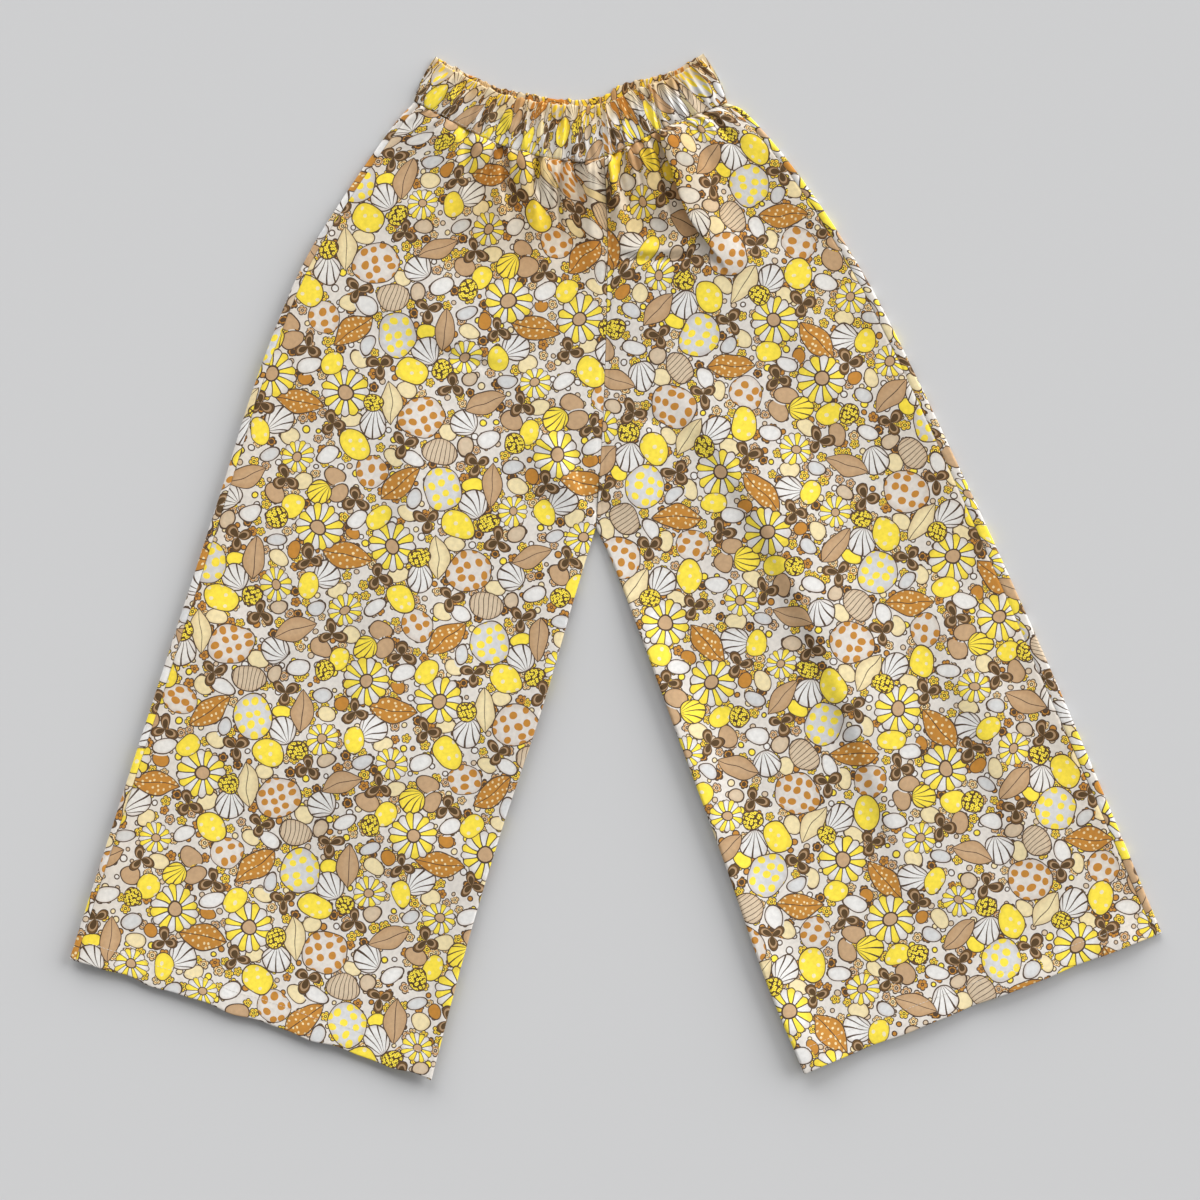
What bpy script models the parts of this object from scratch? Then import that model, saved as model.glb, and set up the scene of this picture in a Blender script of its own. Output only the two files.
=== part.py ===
# Palazzo trousers with an elasticated waist, laid flat on their back on a table.
# The table top is the plane z = 0.  +Y points to the waist, +X to the wearer's left leg,
# and +Z up out of the front.  Lengths are in metres.

import math

import bmesh
import bpy
import numpy as np

# ---------------------------------------------------------------- driving dimensions

CLOTH = 0.0010            # wall of the leg panels
BAND_WALL = 0.0030        # casing cloth, elastic, casing cloth
SEAM_GAP = 0.0003         # between two sewn pieces
HEM_DEPTH = 0.025         # cloth turned up inside each leg
HEM_GAP = 0.0003          # between the leg and its turned-up hem

EDGE_TOP = 0.0051         # mid-height of the front cloth along the leg's edges
EDGE_REACH = 0.030        # how far in from those edges it stays raised
FRONT_LIE = 0.0036        # mid-height of the front cloth in the middle of a leg
HEM_RISE = (0.900, 0.965) # shares of the leg between which the front rises to its hem
BAND_LIFT = 0.0034        # underside of the front band

# Edges of the trousers as they lie, each from the waist down, as (x, y).
OUTSEAM = {
    "right": ((-0.1919, 0.4413), (-0.2140, 0.4160), (-0.2603, 0.3482), (-0.3002, 0.2798),
              (-0.3411, 0.1772), (-0.3772, 0.0632), (-0.4513, -0.1648), (-0.5178, -0.3710)),
    "left": ((0.1055, 0.4403), (0.1260, 0.4290), (0.1739, 0.3719), (0.2271, 0.2912),
             (0.2727, 0.2057), (0.3534, 0.0347), (0.4294, -0.1363), (0.5178, -0.3472)),
}
CENTRE_SEAM = ((-0.0110, 0.3880), (-0.0080, 0.3000), (-0.0120, 0.1500), (-0.0190, 0.0366))
INSEAM = {
    "right": ((-0.0190, 0.0366), (-0.0371, -0.0223), (-0.0703, -0.1363), (-0.1083, -0.2503),
              (-0.1425, -0.3643), (-0.1748, -0.4869)),
    "left": ((-0.0190, 0.0366), (-0.0035, 0.0035), (0.0175, -0.0510), (0.0595, -0.1648),
             (0.1017, -0.2788), (0.1416, -0.3928), (0.1777, -0.4802)),
}
WAIST_SEAM = ((-0.1919, 0.4413), (-0.1463, 0.4166), (-0.0979, 0.3957), (-0.0437, 0.3843),
              (-0.0110, 0.3880), (0.0428, 0.4137), (0.1055, 0.4403))
BACK_BAND_TOP = ((-0.1710, 0.4840), (-0.1387, 0.4675), (-0.1102, 0.4550), (-0.0722, 0.4475),
                 (-0.0440, 0.4440), (-0.0120, 0.4475), (0.0010, 0.4560), (0.0171, 0.4615),
                 (0.0504, 0.4700), (0.0827, 0.4869))
FRONT_BAND_TOP = ((-0.1690, 0.4800), (-0.1387, 0.4640), (-0.1102, 0.4500), (-0.0722, 0.4415),
                  (-0.0440, 0.4385), (-0.0105, 0.4405), (0.0171, 0.4530), (0.0504, 0.4635),
                  (0.0820, 0.4820))

# Fraction of the outseam, from the waist, that lies level with the crotch.
CROTCH_LEVEL = {"right": 0.458, "left": 0.492}
# How far the back panel rolls over the edge on to the front: waist, hip, knee, hem.
ROLL_PLACES = (0.0, 0.3, 0.7, 1.0)
OUTSEAM_ROLL = {"right": (0.0030, 0.0040, 0.0045, 0.0030),
                "left": (0.0030, 0.0060, 0.0090, 0.0040)}
INSEAM_RADIUS = 0.00205   # mid-radius of the cloth where front and back meet at the inseam
CROTCH_EASE = 0.035       # stretch of the centre seam over which that roundness begins
WAIST_GAP = 0.0005        # panels stop this far below the casing's stitch line
CORNER_GAP = 0.0007       # and this much further at the side seams, where the edge rolls
CORNER_REACH = 0.012      # length of waist beside each side seam that keeps this gap
WAIST_FADE = 0.30         # share of the leg over which the waist's curve dies out

# Gathers of each front panel under the band: place across the panel (0 outseam,
# 1 centre seam), height, half-width as a share of the panel, and reach down the leg.
GATHERS = {
    "right": (
        {"across": 0.10, "height": 0.0012, "half": 0.050, "reach": 0.060},
        {"across": 0.26, "height": 0.0022, "half": 0.055, "reach": 0.090},
        {"across": 0.38, "height": 0.0030, "half": 0.050, "reach": 0.110},
        {"across": 0.50, "height": 0.0034, "half": 0.050, "reach": 0.120},
        {"across": 0.62, "height": 0.0046, "half": 0.052, "reach": 0.150},
        {"across": 0.745, "height": 0.0042, "half": 0.050, "reach": 0.125},
        {"across": 0.87, "height": 0.0050, "half": 0.055, "reach": 0.165},
    ),
    "left": (
        {"across": 0.12, "height": 0.0014, "half": 0.060, "reach": 0.070},
        {"across": 0.29, "height": 0.0024, "half": 0.070, "reach": 0.100},
        {"across": 0.70, "height": 0.0046, "half": 0.075, "reach": 0.130},
        {"across": 0.88, "height": 0.0044, "half": 0.075, "reach": 0.150},
    ),
}

GATHER_RISE = (-0.010, 0.020)   # lengths below the band between which a gather comes up
GATHER_HOLD = 0.25              # share of its reach that a gather keeps its full height

# Large folds and soft swells of the front, as they lie: from, to, height, and the
# half-widths to the left and to the right of that line, for one who walks along it.
# Along its line a fold comes up between the first two shares and dies out over the others.
FOLD_ENDS = (-0.12, 0.22, 0.62, 1.12)
FOLDS = (
    {"name": "lapped fold", "start": (0.0460, 0.4100), "end": (0.0900, 0.2950),
     "height": 0.0085, "left": 0.0190, "right": 0.0085},
    {"name": "crotch drape", "start": (-0.0700, 0.1350), "end": (-0.0300, 0.0450),
     "height": 0.0026, "left": 0.0150, "right": 0.0220},
    {"name": "crotch drape, left leg", "start": (0.0450, 0.1350), "end": (-0.0020, 0.0300),
     "height": 0.0022, "left": 0.0200, "right": 0.0160},
    {"name": "left thigh swell", "start": (0.1100, 0.0900), "end": (0.2650, -0.2300),
     "height": 0.0020, "left": 0.0450, "right": 0.0250},
    {"name": "right thigh swell", "start": (-0.2300, 0.1500), "end": (-0.3200, -0.3200),
     "height": 0.0016, "left": 0.0500, "right": 0.0500},
    {"name": "right hip swell", "start": (-0.2400, 0.2600), "end": (-0.0900, 0.1900),
     "height": 0.0016, "left": 0.0300, "right": 0.0300},
    {"name": "left hip swell", "start": (0.0100, 0.2850), "end": (0.1700, 0.2950),
     "height": 0.0015, "left": 0.0220, "right": 0.0260},
)

RUCHES = 24               # gathers of the band between its two side seams
RUCHE_HEIGHT = 0.0016
RUCHE_FADE = 0.04         # share of the band beside each side seam that has no ruches
RUFFLE = 0.0014           # how far the ruching moves the band's top edge up and down
SIDE_BULGE = 0.0030       # the band's side edges bow outwards
BULGE_REACH = 0.08        # share of the band over which that bow dies out
BAND_END = 0.12           # share of the wall that is left at the band's rounded sides
BAND_WIDTH = math.dist(WAIST_SEAM[0], WAIST_SEAM[-1])
# Sections of the casing: share of its height, share of its wall, share of the ruche.
FRONT_BAND_RING = ((0.0, 0.0, 0.0), (0.5, 0.0, 0.0), (0.965, 0.0, 0.0), (1.0, 0.5, 0.2),
                   (0.965, 1.0, 0.5), (0.75, 1.0, 1.0), (0.48, 1.0, 0.8), (0.22, 1.0, 1.0),
                   (0.0, 1.0, 0.1))
BACK_BAND_RING = ((0.0, 0.0, 0.0), (0.5, 0.0, 0.0), (0.95, 0.0, 0.0), (1.0, 0.5, 0.0),
                  (0.95, 1.0, 0.0), (0.5, 1.0, 0.0), (0.0, 1.0, 0.0))

# How finely the panels are divided: rows as shares of the outseam, from the waist down
# and then on both sides of the crotch, and points across each panel.
UPPER_ROWS = (0.0, 0.014, 0.030, 0.050, 0.074, 0.102, 0.138, 0.180, 0.230, 0.285, 0.345, 0.400)
CROTCH_ROWS = (-0.032, -0.018, -0.008, 0.0, 0.008, 0.025)
UPPER_END = 0.04          # the waist's rows stop this far above the crotch
LEG_START = 0.07          # the leg's rows start this far below it
LEG_END = 0.965
LEG_ROWS = 8
FRONT_COLUMNS = {"right": 28, "left": 22}
BACK_COLUMNS = 12
BACK_START = 0.04         # share of the back panel before its first flat point
ROLL_STEPS = 4
BEND_STEPS = 2
HEM_STEPS = 4

PRINT_GROUND = (0.80, 0.70, 0.46, 1.0)     # the print's yellow, tan and white, seen as one
BAND_COLOUR = (0.78, 0.64, 0.38, 1.0)
ROUGHNESS = 0.85
SHARP_EDGE = math.radians(50)


# ---------------------------------------------------------------- curves

def smooth_curve(points, steps=40):
    """Dense polyline through the points: a Catmull-Rom curve with mirrored ends."""
    p = np.array(points, dtype=float)
    p = np.vstack((2 * p[0] - p[1], p, 2 * p[-1] - p[-2]))
    t = np.linspace(0.0, 1.0, steps, endpoint=False)[:, None]
    runs = []
    for a, b, c, d in zip(p[:-3], p[1:-2], p[2:-1], p[3:]):
        runs.append(0.5 * (2 * b + (c - a) * t + (2 * a - 5 * b + 4 * c - d) * t ** 2
                           + (3 * b - a - 3 * c + d) * t ** 3))
    runs.append(p[-2][None, :])
    return np.vstack(runs)


def along(curve, share):
    """Point at that share of the polyline's length."""
    steps = np.linalg.norm(np.diff(curve, axis=0), axis=1)
    run = np.concatenate(([0.0], np.cumsum(steps)))
    s = share * run[-1]
    return np.array([np.interp(s, run, curve[:, 0]), np.interp(s, run, curve[:, 1])])


def share_nearest(curve, point):
    """Share of the polyline's length at the vertex nearest to the point."""
    steps = np.linalg.norm(np.diff(curve, axis=0), axis=1)
    run = np.concatenate(([0.0], np.cumsum(steps)))
    nearest = np.argmin(np.linalg.norm(curve - np.array(point), axis=1))
    return run[nearest] / run[-1]


def smoothstep(low, high, value):
    t = min(max((value - low) / (high - low), 0.0), 1.0)
    return t * t * (3.0 - 2.0 * t)


OUTSEAM_CURVE = {side: smooth_curve(points) for side, points in OUTSEAM.items()}
INSEAM_CURVE = {side: smooth_curve(points) for side, points in INSEAM.items()}
CENTRE_CURVE = smooth_curve(CENTRE_SEAM)
WAIST_CURVE = smooth_curve(WAIST_SEAM)
CENTRE_SHARE = share_nearest(WAIST_CURVE, CENTRE_SEAM[0])
OUTSEAM_LENGTH = {side: float(np.linalg.norm(np.diff(curve, axis=0), axis=1).sum())
                  for side, curve in OUTSEAM_CURVE.items()}


# ---------------------------------------------------------------- how a leg lies

def leg_row(side, down):
    """Outer and inner edge of a leg at a share of the way down it."""
    level = CROTCH_LEVEL[side]
    outer = along(OUTSEAM_CURVE[side], down)
    if down <= level:
        inner = along(CENTRE_CURVE, down / level)
    else:
        inner = along(INSEAM_CURVE[side], (down - level) / (1.0 - level))
    away = -0.5 * SEAM_GAP if side == "right" else 0.5 * SEAM_GAP
    return outer, inner + np.array([away, 0.0])


def waist_bulge(side, across):
    """How far the waist seam leaves the straight line between the leg's top corners."""
    if side == "right":
        share = across * CENTRE_SHARE
        corner = along(WAIST_CURVE, 0.0)
    else:
        share = 1.0 - across * (1.0 - CENTRE_SHARE)
        corner = along(WAIST_CURVE, 1.0)
    centre = along(WAIST_CURVE, CENTRE_SHARE)
    return along(WAIST_CURVE, share) - (corner * (1.0 - across) + centre * across)


def place(side, down, inset):
    """Plan position a length of inset from the outer edge, along the row at down."""
    outer, inner = leg_row(side, down)
    width = np.linalg.norm(inner - outer)
    across = inset / width
    fade = 1.0 - smoothstep(0.0, WAIST_FADE, down)
    bulge = waist_bulge(side, min(max(across, 0.0), 1.0)) * fade
    corner = CORNER_GAP * math.exp(-(inset / CORNER_REACH) ** 2)
    clear = np.array([0.0, -WAIST_GAP - corner]) * fade
    return outer + (inner - outer) * across + bulge + clear


def roll_width(side, down):
    """How far the back panel lies over on the front at a share of the way down."""
    return float(np.interp(down, ROLL_PLACES, OUTSEAM_ROLL[side]))


def inseam_bend(side, down):
    """0 where the panels end flat at the centre seam, 1 where they turn to the inseam."""
    level = CROTCH_LEVEL[side]
    ease = CROTCH_EASE / OUTSEAM_LENGTH[side]
    return smoothstep(level - ease, level + 0.25 * ease, down)


def line_swell(fold, x, y):
    """Height of one fold of the table at a point."""
    start = np.array(fold["start"])
    run = np.array(fold["end"]) - start
    length = np.linalg.norm(run)
    way = run / length
    offset = np.array([x, y]) - start
    share = float(offset @ way) / length
    sideways = float(offset @ np.array([-way[1], way[0]]))
    half = fold["right"] if sideways < 0.0 else fold["left"]
    begins, full, fades, gone = FOLD_ENDS
    ends = smoothstep(begins, full, share) * (1.0 - smoothstep(fades, gone, share))
    return fold["height"] * ends * math.exp(-(sideways / half) ** 2)


def front_height(side, down, inset, width, x, y):
    """Mid-height of the front cloth, with its gathers and folds."""
    across = inset / width
    seam = min(1.0, 2.0 * inseam_bend(side, down))
    near_edge = math.exp(-(inset / EDGE_REACH) ** 2)
    far_edge = math.exp(-((width - inset) / EDGE_REACH) ** 2) * seam
    near_hem = smoothstep(*HEM_RISE, down)
    rest = max(near_edge, far_edge, near_hem)
    height = FRONT_LIE + (EDGE_TOP - FRONT_LIE) * rest
    below_waist = down * OUTSEAM_LENGTH[side]
    free = 1.0 - rest
    for gather in GATHERS[side]:
        spread = (across - gather["across"]) / gather["half"]
        fade = 1.0 - smoothstep(GATHER_HOLD, 1.0, below_waist / gather["reach"])
        rise = smoothstep(*GATHER_RISE, below_waist)
        height += gather["height"] * rise * fade * math.exp(-spread ** 2)
    for fold in FOLDS:
        height += free * line_swell(fold, x, y)
    return height


# ---------------------------------------------------------------- cross-sections

def arc(radius, bend, share):
    """Point on a quarter turn that is opened out to a share of its bend."""
    length = radius * math.pi / 2
    if bend < 1e-3:
        return share * length, 0.0, 0.0
    turn = bend * math.pi / 2 * share
    opened = radius / bend
    return opened * math.sin(turn), opened * (1.0 - math.cos(turn)), turn


def back_section(side, down, flats):
    """Section of a back panel from its rolled edge to its inner seam.

    Each entry is (inset, height, inward normal along the row, inward normal up)."""
    outer, inner = leg_row(side, down)
    width = np.linalg.norm(inner - outer)
    low = CLOTH / 2
    radius = (EDGE_TOP - low) / 2
    middle = CLOTH / 2 + radius
    section = [(middle + roll_width(side, down), EDGE_TOP, 0.0, -1.0)]
    for step in range(ROLL_STEPS + 1):
        turn = math.pi / 2 - math.pi * step / ROLL_STEPS
        out, up = math.cos(turn), math.sin(turn)
        section.append((middle - radius * out, low + radius + radius * up, out, -up))
    bend = inseam_bend(side, down)
    reach, rise, turn = arc(INSEAM_RADIUS, bend, 1.0)
    begin = width - 0.5 * CLOTH * math.sin(turn) - reach
    for flat in flats:
        section.append((middle + (begin - middle) * flat, low, 0.0, 1.0))
    for step in range(1, BEND_STEPS + 1):
        reach, rise, turn = arc(INSEAM_RADIUS, bend, step / BEND_STEPS)
        section.append((begin + reach, low + rise, -math.sin(turn), math.cos(turn)))
    return section


def front_section(side, down, flats):
    """Section of a front panel from the outseam on top to its inner seam."""
    outer, inner = leg_row(side, down)
    width = np.linalg.norm(inner - outer)
    first = CLOTH / 2 + (EDGE_TOP - CLOTH / 2) / 2 + roll_width(side, down) + SEAM_GAP
    bend = inseam_bend(side, down)
    reach, drop, turn = arc(INSEAM_RADIUS, bend, 1.0)
    begin = width - 0.5 * CLOTH * math.sin(turn) - reach
    section = []
    for flat in flats:
        inset = first + (begin - first) * flat
        x, y = place(side, down, inset)
        section.append((inset, front_height(side, down, inset, width, x, y), 0.0, -1.0))
    top = section[-1][1]
    for step in range(1, BEND_STEPS + 1):
        reach, drop, turn = arc(INSEAM_RADIUS, bend, step / BEND_STEPS)
        section.append((begin + reach, top - drop, -math.sin(turn), -math.cos(turn)))
    return section


# ---------------------------------------------------------------- meshes

def material(name, colour):
    finish = bpy.data.materials.new(name)
    finish.use_nodes = True
    shader = finish.node_tree.nodes["Principled BSDF"]
    shader.inputs["Base Color"].default_value = colour
    shader.inputs["Roughness"].default_value = ROUGHNESS
    return finish


def add_object(name, mesh, colour):
    mesh.shade_smooth()
    mesh.set_sharp_from_angle(angle=SHARP_EDGE)
    obj = bpy.data.objects.new(name, mesh)
    obj.data.materials.append(material(name + "_cloth", colour))
    trousers.objects.link(obj)
    return obj


def sheet_mesh(name, grid):
    """Open sheet through a grid of points."""
    bm = bmesh.new()
    rows = [[bm.verts.new(point) for point in row] for row in grid]
    for upper, lower in zip(rows[:-1], rows[1:]):
        for i in range(len(upper) - 1):
            bm.faces.new((upper[i], upper[i + 1], lower[i + 1], lower[i]))
    mesh = bpy.data.meshes.new(name)
    bm.to_mesh(mesh)
    bm.free()
    return mesh


def ring_mesh(name, rings):
    """Closed solid through a row of closed sections, with a cap at each end."""
    bm = bmesh.new()
    loops = [[bm.verts.new(point) for point in ring] for ring in rings]
    count = len(loops[0])
    for near, far in zip(loops[:-1], loops[1:]):
        for i in range(count):
            j = (i + 1) % count
            bm.faces.new((near[i], near[j], far[j], far[i]))
    bm.faces.new(loops[0])
    bm.faces.new(list(reversed(loops[-1])))
    bmesh.ops.recalc_face_normals(bm, faces=bm.faces)
    mesh = bpy.data.meshes.new(name)
    bm.to_mesh(mesh)
    bm.free()
    return mesh


def leg_panel(name, side, section, downs, flats):
    """Leg panel with its hem turned up inside: the sheet, then its wall."""
    rows = []
    for down in downs:
        cut = section(side, down, flats)
        outer, inner = leg_row(side, down)
        across = (inner - outer) / np.linalg.norm(inner - outer)
        points = [np.array([*place(side, down, inset), up]) for inset, up, _, _ in cut]
        inward = [np.array([*(across * n_in), n_up]) for _, _, n_in, n_up in cut]
        rows.append((points, inward))

    # The fold starts half a wall and a fold radius short of the hem line.
    fold = (CLOTH + HEM_GAP) / 2
    last_points, last_inward = rows[-1]
    before_points = rows[-2][0]
    downward = []
    for low, high in zip(last_points, before_points):
        way = np.array([low[0] - high[0], low[1] - high[1], 0.0])
        downward.append(way / np.linalg.norm(way))
    short = fold + CLOTH / 2
    last_points = [p - d * short for p, d in zip(last_points, downward)]
    grid = [points for points, _ in rows[:-1]] + [last_points]
    for step in range(1, HEM_STEPS + 1):
        turn = math.pi * step / HEM_STEPS
        grid.append([p + d * fold * math.sin(turn) + n * fold * (1.0 - math.cos(turn))
                     for p, d, n in zip(last_points, downward, last_inward)])
    for back in (0.4 * HEM_DEPTH, HEM_DEPTH):
        grid.append([p - d * back + n * 2 * fold
                     for p, d, n in zip(last_points, downward, last_inward)])

    obj = add_object(name, sheet_mesh(name, grid), PRINT_GROUND)
    wall = obj.modifiers.new("wall", "SOLIDIFY")
    wall.thickness = CLOTH
    wall.offset = 0.0
    wall.use_even_offset = True
    wall.use_quality_normals = True
    return obj


def band_edge(distance):
    """Share of the band's thickness near a side seam, where its edge is round."""
    if distance >= BAND_WALL:
        return 1.0
    return max(math.sqrt(1.0 - (1.0 - distance / BAND_WALL) ** 2), BAND_END)


def band_stations(count):
    """Shares across the band, closer together at its round side edges."""
    end = BAND_WALL / BAND_WIDTH
    near = [0.0, 0.15 * end, 0.5 * end, end]
    far = [1.0 - share for share in reversed(near)]
    return near + list(np.linspace(2.0 * end, 1.0 - 2.0 * end, count)) + far


def ruche_wave(share):
    """Height of the ruching across the band, 0 to 1, unevenly spaced as elastic draws it."""
    drift = 0.9 * math.sin(5.0 * share) + 0.5 * math.sin(13.0 * share + 1.0)
    wave = 0.5 + 0.5 * math.cos(2 * math.pi * RUCHES * share + 2 * math.pi * drift)
    uneven = 0.75 + 0.25 * math.sin(9.0 * share + 0.6)
    return wave * uneven * smoothstep(0.0, RUCHE_FADE, min(share, 1.0 - share))


def band(name, top_points, count, ring_table, under, ruche_height):
    """Casing between the stitch line and its top edge, one section for each station.

    Each row of the table is (share of the height, share of the wall, share of the ruche)."""
    top_curve = smooth_curve(top_points)
    rings = []
    for share in band_stations(count):
        low = along(WAIST_CURVE, share) + np.array([0.0, 0.5 * SEAM_GAP])
        high = along(top_curve, share) + np.array([0.0, RUFFLE * (ruche_wave(share) - 0.5)])
        to_side = min(share, 1.0 - share)
        outward = -1.0 if share < 0.5 else 1.0
        bulge = SIDE_BULGE * outward * (1.0 - smoothstep(0.0, BULGE_REACH, to_side))
        edge = band_edge(to_side * BAND_WIDTH)
        ruche = ruche_height * ruche_wave(share)
        ring = []
        for up, wall, swell in ring_table:
            spot = low + (high - low) * up + np.array([bulge * math.sin(math.pi * up), 0.0])
            if under > 0.0:
                height = under + BAND_WALL * edge * wall + ruche * swell
            else:
                height = BAND_WALL * (1.0 - edge * (1.0 - wall)) + ruche * swell
            ring.append((*spot, height))
        rings.append(ring)
    return add_object(name, ring_mesh(name, rings), BAND_COLOUR)


# ---------------------------------------------------------------- the trousers

for old in list(bpy.data.objects):
    bpy.data.objects.remove(old, do_unlink=True)
trousers = bpy.data.collections.new("palazzo_trousers")
bpy.context.scene.collection.children.link(trousers)

for wearer_side in ("right", "left"):
    crotch = CROTCH_LEVEL[wearer_side]
    rows_down = [row for row in UPPER_ROWS if row < crotch - UPPER_END]
    rows_down += [crotch + row for row in CROTCH_ROWS]
    rows_down += list(np.linspace(crotch + LEG_START, LEG_END, LEG_ROWS))
    rows_down.append(1.0)
    leg_panel("front_" + wearer_side, wearer_side, front_section, rows_down,
              np.linspace(0.0, 1.0, FRONT_COLUMNS[wearer_side]))
    leg_panel("back_" + wearer_side, wearer_side, back_section, rows_down,
              np.linspace(BACK_START, 1.0, BACK_COLUMNS))
band("waistband_front", FRONT_BAND_TOP, 4 * RUCHES, FRONT_BAND_RING, BAND_LIFT, RUCHE_HEIGHT)
band("waistband_back", BACK_BAND_TOP, 3 * RUCHES, BACK_BAND_RING, 0.0, 0.0)
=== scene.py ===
import math
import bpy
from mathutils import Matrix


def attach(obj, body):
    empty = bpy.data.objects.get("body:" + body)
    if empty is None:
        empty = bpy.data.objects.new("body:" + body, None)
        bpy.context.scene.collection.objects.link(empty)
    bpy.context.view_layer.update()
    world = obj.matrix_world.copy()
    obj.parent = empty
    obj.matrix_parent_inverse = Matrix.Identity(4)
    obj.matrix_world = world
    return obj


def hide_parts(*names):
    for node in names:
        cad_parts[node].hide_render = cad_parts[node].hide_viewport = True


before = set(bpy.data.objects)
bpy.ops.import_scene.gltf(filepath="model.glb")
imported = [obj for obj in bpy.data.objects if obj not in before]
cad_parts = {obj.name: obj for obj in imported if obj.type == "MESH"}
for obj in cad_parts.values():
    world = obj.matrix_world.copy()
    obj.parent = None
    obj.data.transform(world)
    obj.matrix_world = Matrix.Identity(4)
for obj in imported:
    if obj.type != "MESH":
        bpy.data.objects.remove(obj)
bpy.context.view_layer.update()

from types import SimpleNamespace

import bpy
import numpy as np

# ---------------------------------------------------------------- tabletop, light and camera
# Not part of the trousers: a plain pale grey tabletop, a low row of large soft lights beyond
# the waist with an even fill from all round, and a camera that looks straight down.
TABLE_GREY = (0.600, 0.602, 0.608, 1.0)
TABLE_SIZE = 8.0
VIEW_CENTRE = (-0.0152, -0.0318)
VIEW_WIDTH = 1.140
CAMERA_HEIGHT = 3.4
CAMERA_FILM = 36.0
FILL_LIGHT = 0.330
KEY_HEIGHT = math.radians(13.0)
KEY_SPREAD = math.radians(62.0)
KEY_LIGHTS = (("soft_light_right", math.radians(28.0), 4.40),
              ("soft_light_left", math.radians(102.0), 4.02))

bpy.ops.object.select_all(action="DESELECT")
bpy.ops.mesh.primitive_plane_add(size=TABLE_SIZE, location=(0.0, 0.0, 0.0))
table = bpy.context.object
table.name = "tabletop"
paper = bpy.data.materials.new("tabletop_grey")
paper.use_nodes = True
paper_shader = paper.node_tree.nodes["Principled BSDF"]
paper_shader.inputs["Base Color"].default_value = TABLE_GREY
paper_shader.inputs["Roughness"].default_value = 0.9
paper_shader.inputs["Specular IOR Level"].default_value = 0.2
table.data.materials.append(paper)

for light_name, light_from, strength in KEY_LIGHTS:
    light_data = bpy.data.lights.new(light_name, "SUN")
    light_data.energy = strength
    light_data.angle = KEY_SPREAD
    light = bpy.data.objects.new(light_name, light_data)
    light.location = (2.0 * math.cos(light_from), 2.0 * math.sin(light_from), 1.0)
    light.rotation_euler = (math.pi / 2 - KEY_HEIGHT, 0.0, light_from + math.pi / 2)
    bpy.context.scene.collection.objects.link(light)

fill = bpy.data.worlds.new("even_fill")
fill.use_nodes = True
fill_shader = fill.node_tree.nodes["Background"]
fill_shader.inputs["Color"].default_value = (1.0, 1.0, 1.0, 1.0)
fill_shader.inputs["Strength"].default_value = FILL_LIGHT
bpy.context.scene.world = fill

camera_data = bpy.data.cameras.new("from_above")
camera_data.sensor_width = CAMERA_FILM
camera_data.lens = CAMERA_FILM * CAMERA_HEIGHT / VIEW_WIDTH
camera = bpy.data.objects.new("from_above", camera_data)
camera.location = (VIEW_CENTRE[0], VIEW_CENTRE[1], CAMERA_HEIGHT)
bpy.context.scene.collection.objects.link(camera)
bpy.context.scene.camera = camera
bpy.context.scene.view_settings.view_transform = "Standard"


# ---------------------------------------------------------------- fronts of the two legs
# Each front is cut in one piece with its hem, gathered into the casing at the waist, joined
# to the other down the centre front and to its back at the outseam and the inseam.  As laid,
# it rests on the back, stands a little off it at the seams, and keeps soft folds.

# Cloth: light plain-weave cotton, screen printed on one side in flat inks with a fine
# dark outline: petal wheels, dotted rounds, leaves, buds, seed pods, sprigs and pebbles in one
# repeat.  The wrong side is bare, with the print just coming through.
REPEAT = (0.2360, 0.1530)
OUTLINE = 0.00053
HAND_WOBBLE = 0.0012

GROUND_INK = (0.715, 0.668, 0.612, 1.0)
WHITE_INK = (0.765, 0.750, 0.725, 1.0)
GREY_INK = (0.640, 0.640, 0.635, 1.0)
YELLOW_INK = (0.945, 0.750, 0.066, 1.0)
CREAM_INK = (0.830, 0.700, 0.410, 1.0)
TAN_INK = (0.540, 0.355, 0.200, 1.0)
BEIGE_INK = (0.640, 0.510, 0.360, 1.0)
OCHRE_INK = (0.530, 0.235, 0.038, 1.0)
BROWN_INK = (0.092, 0.052, 0.020, 1.0)
LINE_INK = (0.085, 0.052, 0.033, 1.0)
SHADE_INK = (0.360, 0.165, 0.040, 1.0)
# A warm tint multiplied in as painted shade below the casing and along its top fold, and as a
# warmer, darker tone along the outseam.
SHADE_AND_TINT_INK = (0.880, 0.720, 0.470, 1.0)

# Where the motifs stand in one repeat: kind of colouring, across, along, turn in degrees.
WHEELS = (
    (0, 0.2333, 0.0099, 160), (0, 0.0584, 0.1253, 177), (1, 0.2340, 0.0805, 223),
    (1, 0.1777, 0.1235, 77))
ROUNDS = (
    (0, 0.1213, 0.0815, 354), (1, 0.1211, 0.0100, 266), (2, 0.0597, 0.0463, 135))
LEAVES = (
    (0, 0.0141, 0.1295, 153), (0, 0.0825, 0.0266, 20), (1, 0.1822, 0.0770, 182),
    (1, 0.1662, 0.0006, 68), (2, 0.0972, 0.1030, 256))
BUDS = (
    (0, 0.1268, 0.1239, 316), (0, 0.0512, 0.0776, 112), (2, 0.1257, 0.0468, 149),
    (1, 0.0521, 0.0011, 204), (1, 0.2069, 0.1158, 85), (1, 0.2165, 0.0393, 48))
PODS = (
    (0, 0.0749, 0.0885, 249), (0, 0.2270, 0.1182, 17), (0, 0.1436, 0.1411, 104),
    (1, 0.0061, 0.0416, 203), (0, 0.1586, 0.0646, 127))
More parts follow.
